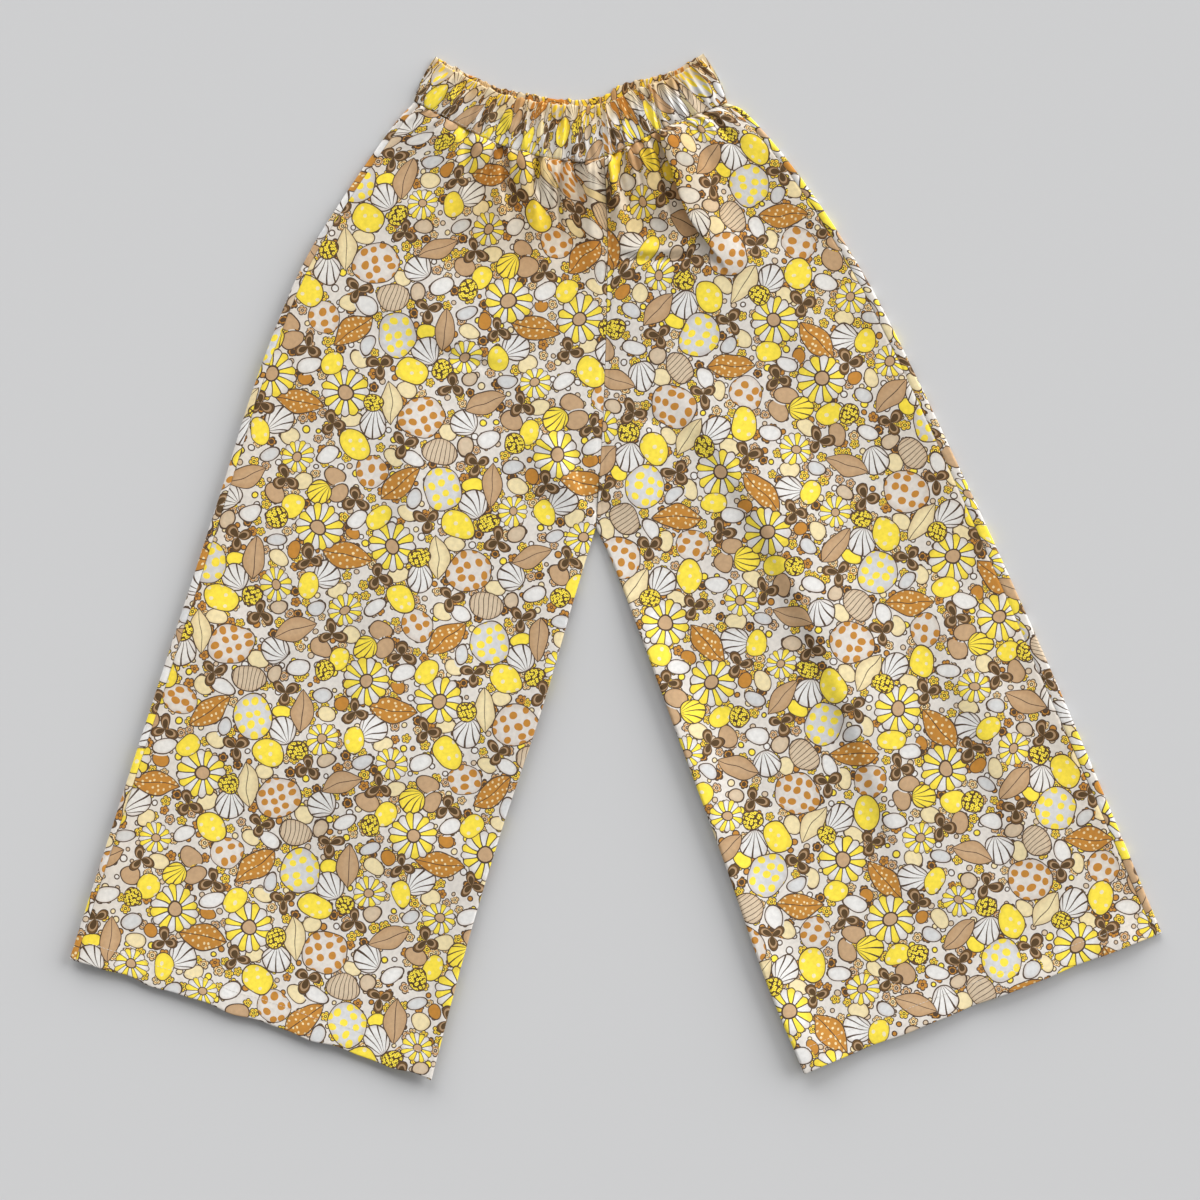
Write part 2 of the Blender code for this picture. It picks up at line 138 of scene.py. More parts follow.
PEBBLES = (
    (0, 0.2018, 0.0529, 308), (6, 0.1753, 0.1023, 353), (0, 0.0255, 0.0521, 140),
    (1, 0.2323, 0.1007, 190), (1, 0.1412, 0.0595, 319), (1, 0.0849, 0.0523, 126),
    (1, 0.0569, 0.0992, 175), (1, 0.0810, 0.1510, 322), (2, 0.1489, 0.0053, 163),
    (1, 0.1158, 0.1094, 157), (3, 0.0255, 0.1488, 146), (3, 0.2049, 0.1503, 70),
    (4, 0.1750, 0.0420, 5), (5, 0.1905, 0.0100, 172), (4, 0.0250, 0.0740, 12),
    (5, 0.2085, 0.0905, 0), (6, 0.1520, 0.0425, 45), (1, 0.1890, 0.1455, 135),
    (5, 0.0920, 0.0085, 60), (4, 0.0335, 0.0070, 8), (1, 0.2315, 0.0575, 168),
    (4, 0.1020, 0.0455, 135), (0, 0.0245, 0.0350, 15))
SPRIGS = (
    (0, 0.0976, 0.0619, 352), (0, 0.0376, 0.0238, 69), (0, 0.2153, 0.0635, 80),
    (0, 0.1570, 0.0241, 124), (0, 0.2149, 0.1377, 320), (0, 0.0386, 0.1009, 210),
    (0, 0.1556, 0.1006, 309), (0, 0.0973, 0.1398, 137))
CLUSTERS = (
    (0, 0.1978, 0.0314, 63), (0, 0.0805, 0.1079, 203), (0, 0.1525, 0.1195, 20))

# Size of each motif's body by kind of colouring: half-length and half-width.  Then the dots:
# the space between them, and how uneven it is.
WHEEL_SIZE = {0: (0.0230, 0.0230), 1: (0.0155, 0.0155)}
ROUND_SIZE = {0: (0.0220, 0.0196), 1: (0.0216, 0.0186), 2: (0.0166, 0.0150)}
LEAF_SIZE = {0: (0.0236, 0.0246), 1: (0.0208, 0.0214), 2: (0.0210, 0.0210)}
BUD_SIZE = {0: (0.0164, 0.0122), 1: (0.0126, 0.0096), 2: (0.0160, 0.0126)}
POD_SIZE = {0: (0.0136, 0.0130), 1: (0.0122, 0.0116)}
PEBBLE_SIZE = {
    0: (0.0110, 0.0084), 1: (0.0098, 0.0072), 2: (0.0094, 0.0070), 3: (0.0078, 0.0064),
    4: (0.0126, 0.0078), 5: (0.0114, 0.0072), 6: (0.0110, 0.0084)}
SPRIG_SIZE = {0: (0.0136, 0.0136)}
CLUSTER_SIZE = {0: (0.0100, 0.0094)}
DOTS = {"big_dots": (0.0105, 0.35), "small_dots": (0.0056, 0.55), "beads": (0.0034, 0.55)}
FILLER_SPACING = 0.0109
FILLER_SIZE = 0.0046
MOTIF_REACH = 1.20        # no motif reaches further than this share of its half-length
WEAVE_DEPTH = 0.00006
WEAVE_SCALE = 560.0       # threads half a millimetre apart
KIND_STEP = 0.1           # a motif's kind is carried in its third coordinate, in these steps


class ClothNodes:
    """Short names for the few kinds of node that the cotton is drawn with."""

    def __init__(self, cloth):
        self.tree = cloth.node_tree

    def add(self, kind, values=(), **settings):
        """A new node with its settings, and with its inputs linked or given a value."""
        node = self.tree.nodes.new(kind)
        for name, setting in settings.items():
            setattr(node, name, setting)
        for place, value in values.items() if isinstance(values, dict) else enumerate(values):
            if isinstance(value, bpy.types.NodeSocket):
                self.tree.links.new(value, node.inputs[place])
            else:
                node.inputs[place].default_value = value
        return node

    def sum(self, operation, *values):
        return self.add("ShaderNodeMath", values, operation=operation).outputs[0]

    def times(self, value, factor, *plus):
        return self.sum("MULTIPLY_ADD" if plus else "MULTIPLY", value, factor, *plus)

    def minus(self, value, other):
        return self.sum("SUBTRACT", value, other)

    def below(self, value, limit):
        return self.sum("LESS_THAN", value, limit)

    def near(self, value, centre, reach):
        return self.sum("COMPARE", value, centre, reach)

    def vector(self, operation, *values):
        node = self.add("ShaderNodeVectorMath", values, operation=operation)
        return node.outputs["Value" if operation == "LENGTH" else "Vector"]

    def split(self, vector):
        return tuple(self.add("ShaderNodeSeparateXYZ", [vector]).outputs)

    def paint(self, under, over, where, blend="MIX"):
        node = self.add("ShaderNodeMix", data_type="RGBA", blend_type=blend,
                        values={0: where, 6: under, 7: over})
        return node.outputs[2]

    def choose(self, first, second, where):
        node = self.add("ShaderNodeMix", data_type="VECTOR", values={0: where, 4: first, 5: second})
        return node.outputs[1]

    def cells(self, vector, spacing, uneven):
        node = self.add("ShaderNodeTexVoronoi", voronoi_dimensions="2D",
                        values={"Vector": vector, "Scale": 1.0 / spacing, "Randomness": uneven})
        return node.outputs["Distance"], node.outputs["Color"], node.outputs["Position"]

    def noise(self, vector, scale, detail):
        return self.add("ShaderNodeTexNoise", noise_dimensions="2D",
                        values={"Vector": vector, "Scale": scale, "Detail": detail})

    def steps(self, value, stops):
        node = self.add("ShaderNodeValToRGB", [value])
        node.color_ramp.interpolation = "CONSTANT"
        marks = node.color_ramp.elements
        marks[0].position, marks[0].color = stops[0]
        marks[1].position, marks[1].color = stops[1]
        for position, colour in stops[2:]:
            marks.new(position).color = colour
        return node.outputs[0]


def on_motif(cloth, spot, chart, sizes):
    """Coordinates on the nearest motif of a chart, with its kind as the third of them."""
    nearest = (9.0, 9.0, 0.0)
    for kind, across, along, turn in chart:
        low = (across - REPEAT[0] / 2, along - REPEAT[1] / 2, -1.0)
        high = (across + REPEAT[0] / 2, along + REPEAT[1] / 2, 1.0)
        half_length, half_width = sizes[kind]
        own = cloth.add("ShaderNodeMapping", vector_type="TEXTURE", values={
            "Vector": cloth.vector("WRAP", spot, high, low),
            "Location": (across, along, -KIND_STEP * kind),
            "Rotation": (0.0, 0.0, math.radians(turn)),
            "Scale": (half_length, half_width, 1.0)}).outputs[0]
        inside = cloth.below(cloth.vector("LENGTH", own), MOTIF_REACH)
        nearest = cloth.choose(nearest, own, inside)
    return nearest


def is_kind(cloth, at, kind):
    return cloth.near(at.kind, KIND_STEP * kind, KIND_STEP / 2)


def outlined(cloth, under, size, fill, depth, extra_line=None):
    """Paints a body where depth is below 0, warmer and darker to its rim, with a line round it."""
    inside = cloth.below(depth, 0.0)
    fill = cloth.paint(fill, SHADE_INK, cloth.times(depth, 0.90, 0.27))
    line = cloth.near(depth, 0.0, OUTLINE / size)
    if extra_line is not None:
        line = cloth.sum("MAXIMUM", line, cloth.times(extra_line, inside))
    return cloth.paint(cloth.paint(under, fill, inside), LINE_INK, line)


# Each of these gives a motif's fill, how far a place is inside its rim, and any lines drawn on
# its body, for a place at x and y on it: 1 at the rim of a round body.
def wheel(cloth, at):
    """A wheel of striped petals round a tan eye."""
    wave = cloth.sum("SINE", cloth.times(cloth.sum("ARCTAN2", at.y, at.x), 8.0))
    rim = cloth.times(cloth.sum("ABSOLUTE", wave), 0.10, 0.90)
    fill = cloth.paint(WHITE_INK, YELLOW_INK, cloth.sum("GREATER_THAN", wave, 0.0))
    eye_depth = cloth.minus(at.reach, 0.30)
    in_eye = cloth.below(eye_depth, 0.0)
    between = cloth.near(cloth.times(wave, at.reach), 0.0, 0.17)
    between = cloth.times(between, cloth.minus(1.0, in_eye))
    lines = cloth.sum("MAXIMUM", between, cloth.near(eye_depth, 0.0, 0.035))
    return cloth.paint(fill, TAN_INK, in_eye), cloth.minus(at.reach, rim), lines


def dotted_round(cloth, at):
    """A large pale round with loose dots."""
    other = is_kind(cloth, at, 1)
    ground = cloth.paint(GROUND_INK, GREY_INK, other)
    dots = cloth.paint(OCHRE_INK, YELLOW_INK, other)
    fill = cloth.paint(ground, dots, cloth.below(at.big_dots, 0.34))
    return fill, cloth.minus(at.reach, 1.0)


def leaf(cloth, at):
    """A broad pointed leaf with a middle rib, dotted ochre, tan or cream."""
    half = cloth.times(cloth.times(at.x, at.x), 0.48, -0.48)
    depth = cloth.sum("ADD", cloth.sum("ABSOLUTE", at.y), half)
    fill = cloth.paint(OCHRE_INK, CREAM_INK, cloth.below(at.small_dots, 0.20))
    fill = cloth.paint(fill, TAN_INK, is_kind(cloth, at, 1))
    fill = cloth.paint(fill, CREAM_INK, is_kind(cloth, at, 2))
    return fill, depth, cloth.near(at.y, 0.0, 0.016)


def bud(cloth, at):
    """A bud, blunt at one end: yellow with a few pale spots, or beige with ribs."""
    taper = cloth.times(cloth.sum("DIVIDE", at.x, at.reach), 0.17, -1.0)
    spots = cloth.times(cloth.below(at.big_dots, 0.17), 0.6)
    ribbed = is_kind(cloth, at, 2)
    fill = cloth.paint(cloth.paint(YELLOW_INK, WHITE_INK, spots), BEIGE_INK, ribbed)
    ribs = cloth.near(cloth.sum("SINE", cloth.times(at.x, 13.0)), 0.0, 0.24)
    return fill, cloth.sum("ADD", at.reach, taper), cloth.times(ribs, ribbed)


def pod(cloth, at):
    """A ribbed seed pod, white or yellow, with the ribs drawn in from one point."""
    lean = cloth.sum("ARCTAN2", at.y, cloth.sum("ADD", at.x, 1.15))
    ribs = cloth.near(cloth.sum("SINE", cloth.times(lean, 9.0)), 0.0, 0.30)
    fill = cloth.paint(WHITE_INK, YELLOW_INK, is_kind(cloth, at, 1))
    return fill, cloth.minus(at.reach, 1.0), ribs


def pebble(cloth, at):
    """A plain oval in one of seven inks."""
    inks = (TAN_INK, CREAM_INK, YELLOW_INK, OCHRE_INK, WHITE_INK, GREY_INK, BEIGE_INK)
    stops = [(max(0.0, KIND_STEP * (kind - 0.5)), ink) for kind, ink in enumerate(inks)]
    return cloth.steps(at.kind, stops), cloth.minus(at.reach, 1.0)


def sprig(cloth, at):
    """A small dark sprig of three leaflets with lighter veins."""
    turn = cloth.times(cloth.sum("ARCTAN2", at.y, at.x), 1.5)
    leaflet = cloth.sum("ABSOLUTE", cloth.sum("COSINE", turn))
    depth = cloth.minus(at.reach, leaflet)
    vein = cloth.near(depth, -0.24, 0.07)
    return cloth.paint(BROWN_INK, TAN_INK, cloth.times(vein, 0.70)), depth


def flower_head(cloth, at):
    """A round head of tiny yellow flowers, packed close."""
    ring = cloth.near(at.beads, 0.27, 0.16)
    return cloth.paint(BROWN_INK, YELLOW_INK, ring), cloth.minus(at.reach, 1.0)


def draw_fillers(cloth, spot):
    """Small five-petalled flowers, berries and pips, spread evenly over the ground."""
    tint, centre = cloth.cells(spot, FILLER_SPACING, 0.60)[1:]
    own = cloth.vector("SUBTRACT", spot, centre)
    x, y, _ = cloth.split(own)
    red, green, blue = cloth.split(tint)
    is_flower = cloth.below(blue, 0.62)
    size = cloth.times(red, 0.0012, 0.0040)
    reach = cloth.sum("DIVIDE", cloth.vector("LENGTH", own), size)
    around = cloth.times(cloth.sum("ARCTAN2", y, x), 2.5)
    lobe = cloth.sum("ABSOLUTE", cloth.sum("COSINE", cloth.times(red, 9.0, around)))
    rim = cloth.times(cloth.sum("SQRT", lobe), 0.36, 0.68)
    berry = cloth.times(green, 0.30, 0.42)
    edge = cloth.times(is_flower, cloth.minus(rim, berry), berry)
    flower = cloth.steps(green, ((0.0, YELLOW_INK), (0.40, BROWN_INK), (0.53, OCHRE_INK),
                                 (0.62, BEIGE_INK), (0.80, CREAM_INK)))
    tips = cloth.paint(flower, OCHRE_INK, cloth.near(reach, 0.62, 0.10))
    pips = cloth.steps(red, ((0.0, BEIGE_INK), (0.26, CREAM_INK), (0.46, OCHRE_INK),
                             (0.62, WHITE_INK), (0.82, YELLOW_INK)))
    heart = cloth.near(reach, 0.24, 0.10)
    between = cloth.times(cloth.below(lobe, 0.20), cloth.sum("GREATER_THAN", reach, 0.40))
    lines = cloth.times(cloth.sum("MAXIMUM", heart, between), is_flower)
    return outlined(cloth, GROUND_INK, FILLER_SIZE, cloth.paint(pips, tips, is_flower),
                    cloth.minus(reach, edge), lines)


def printed_side(cloth, flat):
    """The print, drawn from the ground up: small motifs first, large ones last, with painted shade
    multiplied in where a piece carries it.
    """
    wobble = 4 * HAND_WOBBLE
    drift = cloth.vector("SUBTRACT", cloth.noise(flat, 45.0, 0.0).outputs["Color"], (0.5, 0.5, 0.5))
    drift = cloth.vector("MULTIPLY", drift, (wobble, wobble, 0.0))
    spot = cloth.vector("ADD", flat, drift)
    gentle = cloth.vector("MULTIPLY", drift, (0.4, 0.4, 0.0))
    dots = {name: cloth.cells(spot, spacing, uneven)[0]
            for name, (spacing, uneven) in DOTS.items()}
    colour = draw_fillers(cloth, cloth.vector("ADD", flat, gentle))
    for chart, sizes, typical_size, motif in (
            (PEBBLES, PEBBLE_SIZE, 0.0090, pebble), (PODS, POD_SIZE, 0.0120, pod),
            (LEAVES, LEAF_SIZE, 0.0220, leaf), (WHEELS, WHEEL_SIZE, 0.0200, wheel),
            (ROUNDS, ROUND_SIZE, 0.0210, dotted_round), (BUDS, BUD_SIZE, 0.0135, bud),
            (CLUSTERS, CLUSTER_SIZE, 0.0097, flower_head), (SPRIGS, SPRIG_SIZE, 0.0120, sprig)):
        own = on_motif(cloth, spot, chart, sizes)
        x, y, kind = cloth.split(own)
        at = SimpleNamespace(x=x, y=y, kind=kind, reach=cloth.vector("LENGTH", own), **dots)
        colour = outlined(cloth, colour, typical_size, *motif(cloth, at))

    # Where a piece carries this value, painted shade is multiplied into the print: warm shade below
    # the casing, where the gathers shade each other, and along the top fold of the casing; and a
    # warmer, darker tone along the outseam.
    shade_and_tint = cloth.add("ShaderNodeAttribute", attribute_name="shade_and_tint").outputs["Fac"]
    colour = cloth.paint(colour, SHADE_AND_TINT_INK, shade_and_tint, "MULTIPLY")

    # The inks take unevenly: a soft mottle lightens and darkens them a little.
    level = cloth.times(cloth.noise(flat, 240.0, 3.0).outputs[0], 0.30, 0.85)
    return cloth.add("ShaderNodeHueSaturation", {"Color": colour, "Value": level}).outputs[0]


def unprinted_side(cloth, flat):
    """The wrong side: pale cloth with the motifs coming through as a blur."""
    return cloth.paint(WHITE_INK, CREAM_INK, cloth.noise(flat, 60.0, 2.0).outputs[0])


def cotton(name, coloured):
    """Light matt cotton in plain weave at half a millimetre."""
    finish = bpy.data.materials.new(name)
    finish.use_nodes = True
    shader = finish.node_tree.nodes["Principled BSDF"]
    shader.inputs["Roughness"].default_value = 0.86
    shader.inputs["Specular IOR Level"].default_value = 0.25
    shader.inputs["Sheen Weight"].default_value = 0.03
    shader.inputs["Sheen Roughness"].default_value = 0.5
    cloth = ClothNodes(finish)
    flat = cloth.add("ShaderNodeUVMap", uv_map="pattern").outputs[0]
    threads = [cloth.add("ShaderNodeTexWave", bands_direction=way, wave_profile="SIN", values={
        "Vector": flat, "Scale": WEAVE_SCALE, "Distortion": 0.6, "Detail": 1.0}) for way in "XY"]
    height = cloth.sum("MAXIMUM", threads[0].outputs["Fac"], threads[1].outputs["Fac"])
    bump = cloth.add("ShaderNodeBump", {"Strength": 0.5, "Distance": WEAVE_DEPTH, "Height": height})
    finish.node_tree.links.new(coloured(cloth, flat), shader.inputs["Base Color"])
    finish.node_tree.links.new(bump.outputs[0], shader.inputs["Normal"])
    return finish


printed_cotton = cotton("printed_cotton", printed_side)
wrong_side = cotton("cotton_wrong_side", unprinted_side)


# How the fronts are cut and how they lie, in metres.
CLOTH = 0.0008            # wall of one layer
SEAM_GAP = 0.0003         # between two sewn pieces
BACK_LIE = 0.0005         # mid-height of the back cloth on the table
EDGE_TOP = 0.0051         # mid-height of the front cloth along the leg's edges
EDGE_REACH = 0.030
FRONT_LIE = 0.0036        # mid-height of the front cloth in the middle of a leg
SEAM_DIP = 0.0006         # how far cloth turns down into a seam
SEAM_DIP_REACH = 0.0015
HEM_DEPTH = 0.025
HEM_GAP = 0.0003
HEM_ROWS = (0.002, 0.005, 0.009, 0.013, 0.017, 0.021, HEM_DEPTH)   # rows of the turn-up
HEM_FOLD_STEPS = 7
HEM_RISE = (0.900, 0.965)   # shares down the leg over which the cloth rises to its hem
FRONT_COLUMNS = {"right": 158, "left": 150}
SEAM_COLUMNS = np.array([0.0, 0.0003, 0.0007, 0.0012, 0.0019, 0.0028])   # close to a seam
SEAM_MARGIN = 0.0042
CURL_STEPS = 4            # columns on the bend at the inseam
# Space between rows: the least, what is added away from the waist, the crotch and the hem,
# and how far off the whole of it is added.
ROW_STEPS = ((0.0009, 0.0033, 0.16), (0.0024, 0.0022, 0.05), (0.0018, 0.0030, 0.03))

OUTSEAM = {
    "right": (
        (-0.1919, 0.4413), (-0.2140, 0.4160), (-0.2603, 0.3482), (-0.3002, 0.2798),
        (-0.3411, 0.1772), (-0.3772, 0.0632), (-0.4513, -0.1648), (-0.5178, -0.3710)),
    "left": (
        (0.1055, 0.4403), (0.1260, 0.4290), (0.1739, 0.3719), (0.2271, 0.2912), (0.2727, 0.2057),
        (0.3534, 0.0347), (0.4294, -0.1363), (0.5178, -0.3472)),
}
CENTRE_SEAM = ((-0.0110, 0.3880), (-0.0080, 0.3000), (-0.0120, 0.1500), (-0.0190, 0.0366))
INSEAM = {
    "right": (
        (-0.0190, 0.0366), (-0.0371, -0.0223), (-0.0703, -0.1363), (-0.1083, -0.2503),
        (-0.1425, -0.3643), (-0.1748, -0.4869)),
    "left": (
        (-0.0190, 0.0366), (-0.0035, 0.0035), (0.0175, -0.0510), (0.0595, -0.1648),
        (0.1017, -0.2788), (0.1416, -0.3928), (0.1777, -0.4802)),
}
WAIST_SEAM = (
    (-0.1919, 0.4413), (-0.1463, 0.4166), (-0.0979, 0.3957), (-0.0437, 0.3843), (-0.0110, 0.3880),
    (0.0428, 0.4137), (0.1055, 0.4403))
CROTCH_LEVEL = {"right": 0.458, "left": 0.492}
ROLL_PLACES = (0.0, 0.3, 0.7, 1.0)
OUTSEAM_ROLL = {"right": (0.0030, 0.0040, 0.0045, 0.0030),
                "left": (0.0030, 0.0060, 0.0090, 0.0040)}
INSEAM_RADIUS = 0.00205
CROTCH_EASE = 0.035
WAIST_GAP = 0.0001
CORNER_GAP = 0.0007
CORNER_REACH = 0.012
WAIST_FADE = 0.30

# Gathers that run down from the casing: place across the panel (0 outseam, 1 centre seam),
# height, half-width as a share of the panel, reach down the leg.
GATHERS = {
    "right": (
        (0.100, 0.0014, 0.045, 0.070), (0.220, 0.0026, 0.045, 0.090), (0.330, 0.0032, 0.038, 0.100),
        (0.415, 0.0036, 0.032, 0.110), (0.565, 0.0050, 0.056, 0.150), (0.715, 0.0050, 0.032, 0.130),
        (0.810, 0.0044, 0.028, 0.110), (0.935, 0.0052, 0.034, 0.150)),
    "left": (
        (0.120, 0.0016, 0.060, 0.070), (0.290, 0.0028, 0.070, 0.100), (0.765, 0.0054, 0.046, 0.120),
        (0.935, 0.0056, 0.042, 0.140)),
}
# Narrow pleats between them, sharper and shorter: place, height, half-width in metres, reach.
PLEATS = {
    "right": (
        (0.045, 0.0007, 0.0022, 0.020), (0.075, -0.0006, 0.0020, 0.026),
        (0.130, 0.0008, 0.0024, 0.034), (0.165, -0.0008, 0.0022, 0.024),
        (0.205, 0.0010, 0.0026, 0.030), (0.235, -0.0010, 0.0020, 0.040),
        (0.290, 0.0010, 0.0022, 0.026), (0.325, -0.0012, 0.0026, 0.044),
        (0.355, 0.0009, 0.0018, 0.022), (0.415, -0.0011, 0.0022, 0.048),
        (0.445, 0.0012, 0.0022, 0.030), (0.475, -0.0017, 0.0028, 0.060),
        (0.530, 0.0012, 0.0020, 0.034), (0.562, -0.0016, 0.0024, 0.046),
        (0.590, 0.0012, 0.0018, 0.028), (0.650, -0.0012, 0.0020, 0.036),
        (0.682, -0.0022, 0.0030, 0.064), (0.712, 0.0013, 0.0018, 0.040),
        (0.770, 0.0012, 0.0020, 0.050), (0.800, -0.0026, 0.0028, 0.070),
        (0.832, 0.0012, 0.0018, 0.034), (0.900, -0.0012, 0.0018, 0.044),
        (0.925, 0.0011, 0.0017, 0.030), (0.955, 0.0010, 0.0026, 0.040)),
    "left": (
        (0.050, 0.0008, 0.0022, 0.022), (0.085, -0.0007, 0.0020, 0.028),
        (0.165, 0.0009, 0.0022, 0.030), (0.205, -0.0011, 0.0022, 0.040),
        (0.250, 0.0010, 0.0020, 0.028), (0.340, -0.0010, 0.0022, 0.030),
        (0.640, -0.0022, 0.0026, 0.050), (0.675, 0.0012, 0.0018, 0.030),
        (0.735, 0.0012, 0.0018, 0.034), (0.780, -0.0026, 0.0028, 0.062),
        (0.815, 0.0012, 0.0018, 0.036), (0.850, -0.0012, 0.0018, 0.030),
        (0.960, 0.0012, 0.0020, 0.040)),
}
GATHER_RISE = (-0.006, 0.014)
PLEAT_RISE = (-0.004, 0.003)
GATHER_HOLD = 0.25
GATHER_GROWTH = 1.28
PLEAT_GROWTH = 1.8
PLEAT_STRETCH = 1.45
WAIST_RISE = 0.0034       # the elastic lifts the cloth below the casing
WAIST_RISE_REACH = 0.045
LEAST_LIE = 0.0023        # the front never sinks below this mid-height on to the back
SOFT_STOP = 0.0004

# Folds and creases as they lie: points of the line from its start, height, and half-widths
# to the left and to the right of that line for one who walks along it.
FOLD_ENDS = (-0.12, 0.22, 0.62, 1.12)
LAP_LINE = (
    (0.0450, 0.4310), (0.0504, 0.4066), (0.0598, 0.3828), (0.0671, 0.3591), (0.0764, 0.3353),
    (0.0908, 0.3100), (0.1060, 0.2840))
FOLDS = (
    # the lapped fold below the casing, and the valley on its inner side
    (LAP_LINE, 0.0118, 0.0230, 0.0040),
    (((0.0490, 0.4150), (0.0544, 0.3800), (0.0612, 0.3560), (0.0706, 0.3300), (0.0860, 0.3020)),
     -0.0084, 0.0044, 0.0096),
    (((0.0330, 0.4200), (0.0370, 0.3800), (0.0450, 0.3420), (0.0580, 0.3080)),
     0.0052, 0.0048, 0.0080),
    # deep pleats below the middle of the casing
    (((-0.1085, 0.4170), (-0.1060, 0.3780), (-0.1020, 0.3330)), -0.0074, 0.0060, 0.0036),
    (((-0.0880, 0.4150), (-0.0860, 0.3750), (-0.0840, 0.3350)), 0.0044, 0.0080, 0.0066),
    (((-0.0745, 0.4160), (-0.0735, 0.3720), (-0.0710, 0.3300)), -0.0070, 0.0050, 0.0034),
    (((-0.0548, 0.4140), (-0.0543, 0.3600), (-0.0528, 0.3000)), -0.0030, 0.0050, 0.0019),
    (((-0.0425, 0.4140), (-0.0380, 0.3760), (-0.0300, 0.3380)), -0.0078, 0.0052, 0.0036),
    (((-0.0120, 0.4080), (-0.0100, 0.3420)), 0.0044, 0.0110, 0.0080),
    (((-0.0060, 0.4150), (0.0010, 0.3750), (0.0100, 0.3380)), -0.0076, 0.0050, 0.0038),
    (((0.0190, 0.4230), (0.0240, 0.3850), (0.0310, 0.3520)), -0.0030, 0.0050, 0.0034),
    (((-0.1430, 0.4300), (-0.1420, 0.3900), (-0.1380, 0.3500)), -0.0042, 0.0086, 0.0052),
    # creases across the hips and at the crotch
    (((0.0060, 0.2938), (0.0400, 0.2922), (0.0800, 0.2962)), -0.0042, 0.0034, 0.0030),
    (((0.0040, 0.2990), (0.0400, 0.2978), (0.0830, 0.3012)), 0.0026, 0.0150, 0.0036),
    (((0.0770, 0.2975), (0.1020, 0.2860)), -0.0030, 0.0032, 0.0034),
    (((-0.1700, 0.2010), (-0.1026, 0.1850)), -0.0020, 0.0060, 0.0046),
    (((-0.0360, 0.1080), (-0.0250, 0.0700), (-0.0195, 0.0450)), -0.0064, 0.0064, 0.0060),
    (((0.0210, 0.1500), (0.0420, 0.1320)), -0.0017, 0.0060, 0.0056),
    (((-0.0750, 0.1100), (-0.0520, 0.1000)), -0.0015, 0.0055, 0.0060),
    (((-0.0740, 0.1350), (-0.0340, 0.0450)), 0.0044, 0.0130, 0.0200),
    (((0.0450, 0.1350), (-0.0020, 0.0300)), 0.0026, 0.0200, 0.0150),
    (((-0.2400, 0.2600), (-0.0900, 0.1900)), 0.0026, 0.0280, 0.0200),
    (((0.0100, 0.2850), (0.1700, 0.2950)), 0.0024, 0.0180, 0.0240),
    (((0.1500, 0.2600), (0.2300, 0.1300)), 0.0022, 0.0260, 0.0180),
    (((-0.0600, 0.3050), (-0.0900, 0.2200)), 0.0020, 0.0160, 0.0200),
    # long soft folds down the legs
    (((0.0700, 0.1500), (0.1300, 0.0640), (0.1960, -0.0740), (0.2500, -0.2100), (0.2850, -0.3100)),
     0.0070, 0.0520, 0.0140),
    (((-0.1860, 0.1500), (-0.2040, 0.0100), (-0.2400, -0.1300), (-0.2900, -0.3400)),
     0.0052, 0.0480, 0.0170),
    (((0.3050, -0.0500), (0.3600, -0.1750), (0.4000, -0.2900)), 0.0026, 0.0300, 0.0170),
    (((-0.1500, -0.0400), (-0.1900, -0.2300), (-0.2200, -0.3900)), 0.0022, 0.0280, 0.0220),
    (((0.1250, -0.2300), (0.1800, -0.3600)), 0.0020, 0.0260, 0.0200),
    (((-0.3600, 0.0200), (-0.4150, -0.1800)), 0.0020, 0.0240, 0.0180),
    (((0.0600, -0.0300), (0.1180, -0.1500)), 0.0016, 0.0200, 0.0150),
)
# How far the cloth beside LAP_LINE is pushed over it, towards the centre front.
LAP_SHIFT = 0.0100
LAP_LEFT = 0.0034
LAP_RIGHT = 0.0090
LAP_CREST = 0.0010

# Slight waves that any laid cloth keeps: how many, shortest and longest, and height as a
# share of their length.
WAVES = 30
WAVE_LENGTHS = (0.050, 0.260)
WAVE_SHARE = 0.0015
WAVE_TURN = 16.8          # from one wave to the next, in radians
WAVE_PHASE = 1.7
WAVE_START = 0.03
WAVES_AT_EDGE = 0.25

# Ruches of the casing, which run on a little way into the cloth below it.
RUCHES = 39
RUCHE_HEIGHT = 0.0031
RUCHE_RUN = 0.016
CASING_SEED = 3
PINCH_FADE = (0.3, 1.1)
# Paces and spreads that scatter the ruches evenly at random, the same on each run.
RUCHE_SCATTER = ((12.9898, 43758.5453), (78.233, 12543.1234), (39.425, 24634.6345))

# How far the laid edges stand off the table: along the outseam and along the inseam.
EDGE_LIFT = {"right": (0.0046, 0.0060), "left": (0.0003, 0.0076)}
EDGE_LIFT_REACH = 0.028
LIFT_ON_HIPS = (0.03, 0.25)   # shares down the leg over which the outseam starts to lift
LIFT_ON_LEG = 0.14        # share below the crotch over which the inseam does
# How the hem lifts off the table and waves: length, height and phase of each wave.
HEM_LIFT = {"right": 0.0024, "left": 0.0042}
HEM_LIFT_WAVE = (0.21, 0.7)
HEM_WAVE = {"right": ((0.074, 0.0011, 0.8), (0.041, 0.0006, 2.9)),
            "left": ((0.110, 0.0005, 0.3), (0.052, 0.0003, 1.7))}
HEM_WAVE_START = 0.955
HEM_WAVE_FADE = 0.03

GRAIN = {"right": math.radians(17.0), "left": math.radians(160.0)}
PRINT_START = {"front_right": (0.020, 0.045), "front_left": (0.120, 0.090),
               "back_right": (0.150, 0.010), "back_left": (0.060, 0.110)}
DRAW_IN = 0.42            # extra cloth at the waist, drawn up by the elastic
DRAW_IN_REACH = 0.060
DRAW_IN_SHARES = (0.6, 0.9)   # of it, all along, and more where the gathers pinch

